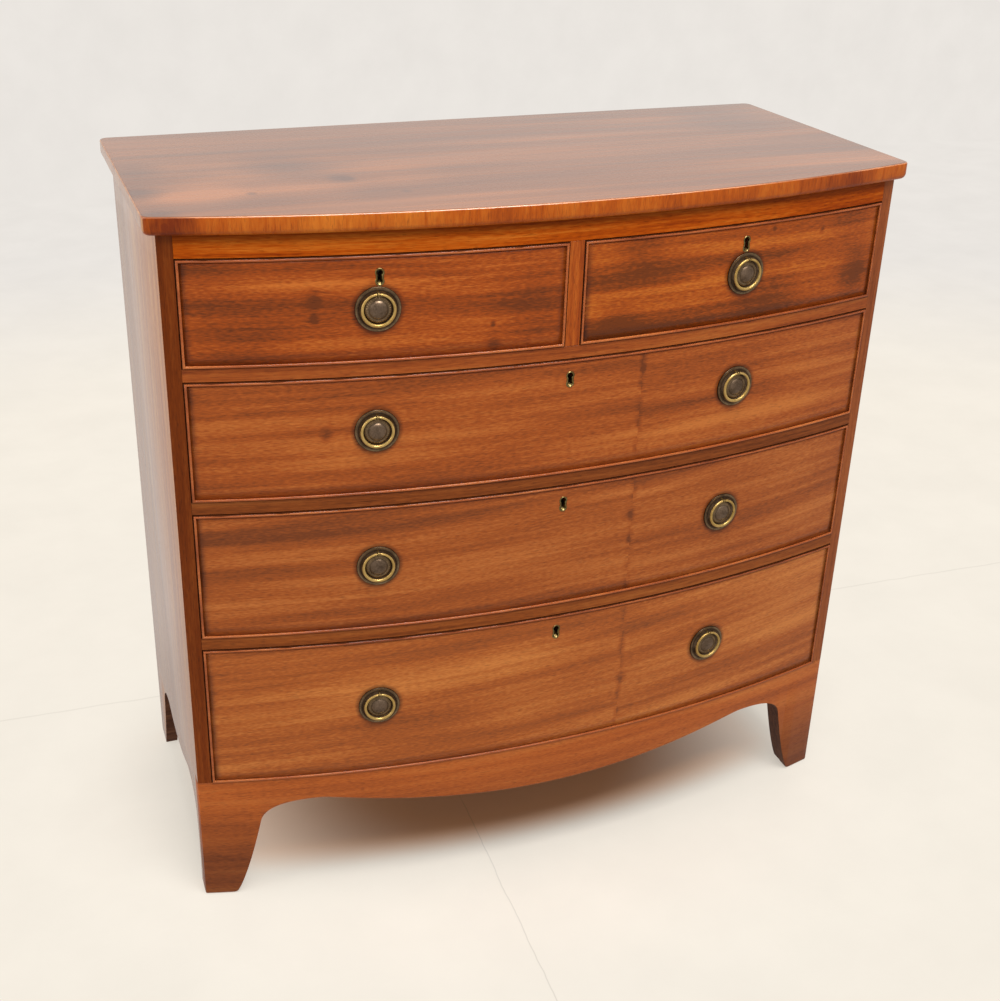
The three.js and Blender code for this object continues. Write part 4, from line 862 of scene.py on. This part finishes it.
def make_pull(drawer, suffix, x, z, ring_body):
    """A plate with its post, a bolt with its nut behind the front, and the ring."""
    plate, reach = plate_points()
    post = [turned(0, KNUCKLE, 24, (0, -STANDOFF, RING_RADIUS)), turned(1, STEM, 16, (0, 0, RING_RADIUS))]
    fastening = [turned(1, BOLT, 16, (0, 0, 0)), turned(1, NUT, 6, (0, 0, 0))]
    parts = [
        ("boss", [plate], drawer, "old_brass", look_plate, 50, "plate"),
        ("post", post, drawer, "brass", look_knuckle, 40, "plate"),
        ("nut", fastening, drawer, "old_brass", look_lock, 30, "plate"),
        ("ring_bar", [ring_points()], ring_body, "brass", look_ring, 50, "ring"),
    ]
    for part, loops, body, slot, look, sharp, node in parts:
        loops = [surface(on_face(points, x, z)) for points in loops]
        made = piece(f"{drawer}_pull{suffix}_{part}", loops, body, look, sharp)
        if part == "boss":
            attribute = made.data.attributes.new("reach", "FLOAT", "POINT")
            attribute.data.foreach_set("value", reach.astype(np.float32))
        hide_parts(f"{drawer}_pull{suffix}_{node}")


for number, (drawer, size) in enumerate(DRAWERS.items()):
    key_x, key_z = size["keyhole"], size["z"][1] - FRONT_GAP - KEYHOLE_DROP
    sheet = veneer(*FIELDS[drawer], key_x, key_z)
    face = piece(f"{drawer}_veneer", [sheet], drawer, VENEERS[drawer], outward=False)
    thick = face.modifiers.new("thickness", "SOLIDIFY")
    thick.thickness, thick.offset = 0.8 * MM, -1
    bead = surface(bead_points(*BEAD_BOXES[drawer], number * 2.7), close_u=True)
    piece(f"{drawer}_cockbead", [bead], drawer, look_bead, sharp=60)
    thread = surface(escutcheon_points(key_x, key_z), close_u=True)
    piece(f"{drawer}_keyhole_thread", [thread], drawer, look_escutcheon)
    for pull_x, pull_z in pull_places(drawer):
        suffix = "" if len(size["pulls"]) == 1 else ("_left" if pull_x < 0 else "_right")
        make_pull(drawer, suffix, pull_x, pull_z, f"{drawer}_ring{suffix}")

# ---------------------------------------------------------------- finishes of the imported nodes
INNER_LOOKS = {
    look_dark_pine: ("bottom_board", "foot_block_left", "foot_block_right"),
    look_pine_front: ("_front", "partition", "top_rail", "divider_upper", "divider_middle", "divider_lower"),
    look_oak_side: ("_side_left", "_side_right"),
    look_oak: ("_back",),
    look_lock: ("_lock",),
}
for name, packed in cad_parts.items():
    look = next((look for look, endings in INNER_LOOKS.items() if name.endswith(endings)), look_pine)
    packed.data.materials.clear()
    packed.data.materials.append(look)

# ---------------------------------------------------------------- stage, lights and camera
WALL_TONE = "#ece7e1"
FLOOR_TONE = "#f8f0e3"


def backdrop_material(name, lit, near, levels, lines=(), under=None):
    """A pale painted surface, lit near the chest, that gives off its own even tone further away. Polish
    mirrors it at one level in front and beside the chest and at another behind it. A line is a joint or a
    crack between two places, in metres: the axis that it crosses, its slope and place, how wide and how dark
    it is, and the range of the other axis over which it fades. Under the case its colour takes a red-brown
    tint: painted shade, for the shadow there and the light bounced off the red wood above it."""
    made, add, nodes = new_material(name, Roughness=0.6, Specular_IOR_Level=0.2)
    place = add("TexCoord").outputs["Object"]
    axes = add("SeparateXYZ", {0: place}).outputs
    mottle = add("TexNoise", {"Vector": place, "Scale": 5.0, "Detail": 5.0, "Roughness": 0.6})
    shade = add("MapRange", {0: mottle, 1: 0.35, 2: 0.65, 3: 0.965})
    waver = add("TexNoise", {"Vector": place, "Scale": 14.0, "Detail": 3.0})
    for axis, slope, start, width, depth, low, high in lines:
        other = "Y" if axis == "X" else "X"
        off = add("Math", {0: axes[other], 1: slope, 2: start}, "MULTIPLY_ADD")
        off = add("Math", {0: waver, 1: 0.008, 2: off}, "MULTIPLY_ADD")
        off = add("Math", {0: axes[axis], 1: off}, "SUBTRACT")
        off = add("Math", {0: off}, "ABSOLUTE")
        dark = add("MapRange", {0: off, 2: width, 3: depth, 4: 0.0})
        shown = add("MapRange", {0: axes[other], 1: low, 2: high, 3: 1.0, 4: 0.0}, **SMOOTH)
        dark = add("Math", {0: dark, 1: shown}, "MULTIPLY")
        shade = add("Math", {0: shade, 1: dark}, "SUBTRACT")
    colour = add("VectorMath", {0: linear(lit)[:3], "Scale": shade}, "SCALE").outputs[0]
    # Painted shade: under the case the floor's colour is darkened to red brown, for its shadow there and the light
    # bounced off the wood
    if under:
        half, front, back, soft, tint = under
        inside = add("Math", {0: axes["X"]}, "ABSOLUTE")
        inside = add("MapRange", {0: inside, 1: half - soft, 2: half, 3: 1.0, 4: 0.0}, **SMOOTH)
        square = add("Math", {0: axes["X"], 1: axes["X"]}, "MULTIPLY")
        bowed = add("Math", {0: square, 1: -0.5 / (BOW_RADIUS * MM), 2: axes["Y"]}, "MULTIPLY_ADD")
        for edge, inner in ((front, front + soft), (back, back - soft)):
            side = add("MapRange", {0: bowed, 1: edge, 2: inner}, **SMOOTH)
            inside = add("Math", {0: inside, 1: side}, "MULTIPLY")
        tinted = add("VectorMath", {0: colour, 1: linear(tint)[:3]}, "MULTIPLY")
        colour = add("Mix", {0: inside, 6: colour, 7: tinted}, data_type="RGBA").outputs[2]
    feed(nodes["Principled BSDF"], {"Base Color": colour})
    rays = add("LightPath")
    oval = add("VectorMath", {0: place, 1: (0.78, 1, 1)}, "MULTIPLY")
    distance = add("VectorMath", {0: oval}, "LENGTH").outputs["Value"]
    fade = add("MapRange", {0: distance, 1: 0.16, 2: 0.63}, **SMOOTH)
    away = add("MapRange", {0: distance, 1: 1.6, 2: 3.2}, **SMOOTH)
    tone = add("Mix", {0: away, 6: linear(near), 7: linear(WALL_TONE)}, data_type="RGBA").outputs[2]
    tone = add("VectorMath", {0: tone, "Scale": shade}, "SCALE")
    even = add("Emission", {"Color": tone})
    seen = add("MixShader", {0: fade, 1: nodes["Principled BSDF"], 2: even})
    behind = add("MapRange", {0: axes["Y"], 1: 0.3, 2: 0.7, 3: levels[0], 4: levels[1]}, **SMOOTH)
    mirrored = add("Emission", {"Color": linear("#fbf6f0"), "Strength": behind})
    both = add("MixShader", {0: rays.outputs["Is Glossy Ray"], 1: seen, 2: mirrored})
    feed(nodes["Material Output"], {"Surface": both})
    return made


def stage_sheet(name, corners, look):
    """A flat sheet of the stage between corners in metres."""
    mesh = bpy.data.meshes.new(name)
    mesh.from_pydata(corners, [], [list(range(len(corners)))])
    mesh.materials.append(look)
    new_object(name, mesh)


# Lines on the floor: the joint along the wall, and a crack that runs out from under the apron
FLOOR_LINES = [("Y", -0.035, 0.331, 0.003, 0.10, 4.0, 5.0), ("X", 0.04, -0.082, 0.0014, 0.2, -0.12, -0.06)]
# The painted shade under the case, a red-brown tint for its shadow and the light bounced off the wood: half
# its width, its front and back edges, how soft they are, and its colour
UNDER_CASE_PAINTED_SHADE = (0.51, -0.215, 0.25, 0.07, "#ffc596")
# The sheets' lowest and highest Z, their reach to the sides and in front, and the wall's Y, in metres
LOW, HIGH, REACH, WALL_Y = -0.0003, 6, 6, 4
SHEETS = {
    "floor": (
        [(-REACH, -REACH, LOW), (REACH, -REACH, LOW), (REACH, WALL_Y, LOW), (-REACH, WALL_Y, LOW)],
        ("#e8e1d5", FLOOR_TONE, (0.5, 0.62), FLOOR_LINES, UNDER_CASE_PAINTED_SHADE),
    ),
    "wall": (
        [(-REACH, WALL_Y, LOW), (REACH, WALL_Y, LOW), (REACH, WALL_Y, HIGH), (-REACH, WALL_Y, HIGH)],
        ("#ece8e2", WALL_TONE, (0.69, 0.69)),
    ),
}
for name, (corners, values) in SHEETS.items():
    stage_sheet(name, corners, backdrop_material(f"pale_painted_{name}", *values))

# The room: soft light on the chest, and the wall's tone to the camera
world = bpy.data.worlds.new("studio")
bpy.context.scene.world = world
world.use_nodes = True
add = partial(add_node, world.node_tree)
ray = add("LightPath").outputs
paint = add("Mix", {0: ray["Is Camera Ray"], 6: linear("#ffffff"), 7: linear(WALL_TONE)}, data_type="RGBA").outputs[2]
strength = add("MapRange", {0: ray["Is Camera Ray"], 3: 0.42})
strength = add("Mix", {0: ray["Is Glossy Ray"], 2: strength, 3: 0.5}, data_type="FLOAT").outputs[0]
feed(world.node_tree.nodes["Background"], {"Color": paint, "Strength": strength})


def soft_light(name, place, target, size, power):
    """A square white soft box aimed at a point."""
    lamp = bpy.data.lights.new(name, "AREA")
    lamp.shape, lamp.size, lamp.energy = "SQUARE", size, power
    made = new_object(name, lamp)
    made.location = place
    made.rotation_mode = "QUATERNION"
    made.rotation_quaternion = (Vector(target) - Vector(place)).to_track_quat("-Z", "Y")


soft_light("main_light", (0.1, -1.35, 3.2), (0, 0, 0.4), 1.6, 95)
soft_light("left_light", (-3.0, 0.0, 1.9), (-0.5, 0, 0.3), 2.0, 38)

# The camera stands where the photograph was taken from: to the left and above. Its angles are in degrees, its
# place in metres, and its focal length and centre in the image's pixels.
CAMERA = dict(azimuth=-19.9713, elevation=25.2441, roll=1.1192, place=(-0.71093, -1.77612, 1.4634))
FOCAL, CENTRE, IMAGE = 1374.48, (458.40, 459.19), (1000, 1001)
SENSOR = 36.0
azimuth, elevation, roll = (math.radians(CAMERA[key]) for key in ("azimuth", "elevation", "roll"))
ahead = math.cos(elevation)
backward = Vector((math.sin(azimuth) * ahead, -math.cos(azimuth) * ahead, math.sin(elevation)))
level = Vector((math.cos(azimuth), math.sin(azimuth), 0))
rightward = level * math.cos(roll) + backward.cross(level) * math.sin(roll)
pose = Matrix((rightward, backward.cross(rightward), backward)).transposed().to_4x4()
pose.translation = CAMERA["place"]
lens = bpy.data.cameras.new("camera")
lens.sensor_width = SENSOR
lens.lens = FOCAL * SENSOR / max(IMAGE)
lens.shift_x = (IMAGE[0] / 2 - CENTRE[0]) / max(IMAGE)
lens.shift_y = (CENTRE[1] - IMAGE[1] / 2) / max(IMAGE)
camera = new_object("camera", lens)
camera.matrix_world = pose
bpy.context.scene.camera = camera
bpy.context.scene.view_settings.view_transform = "Standard"
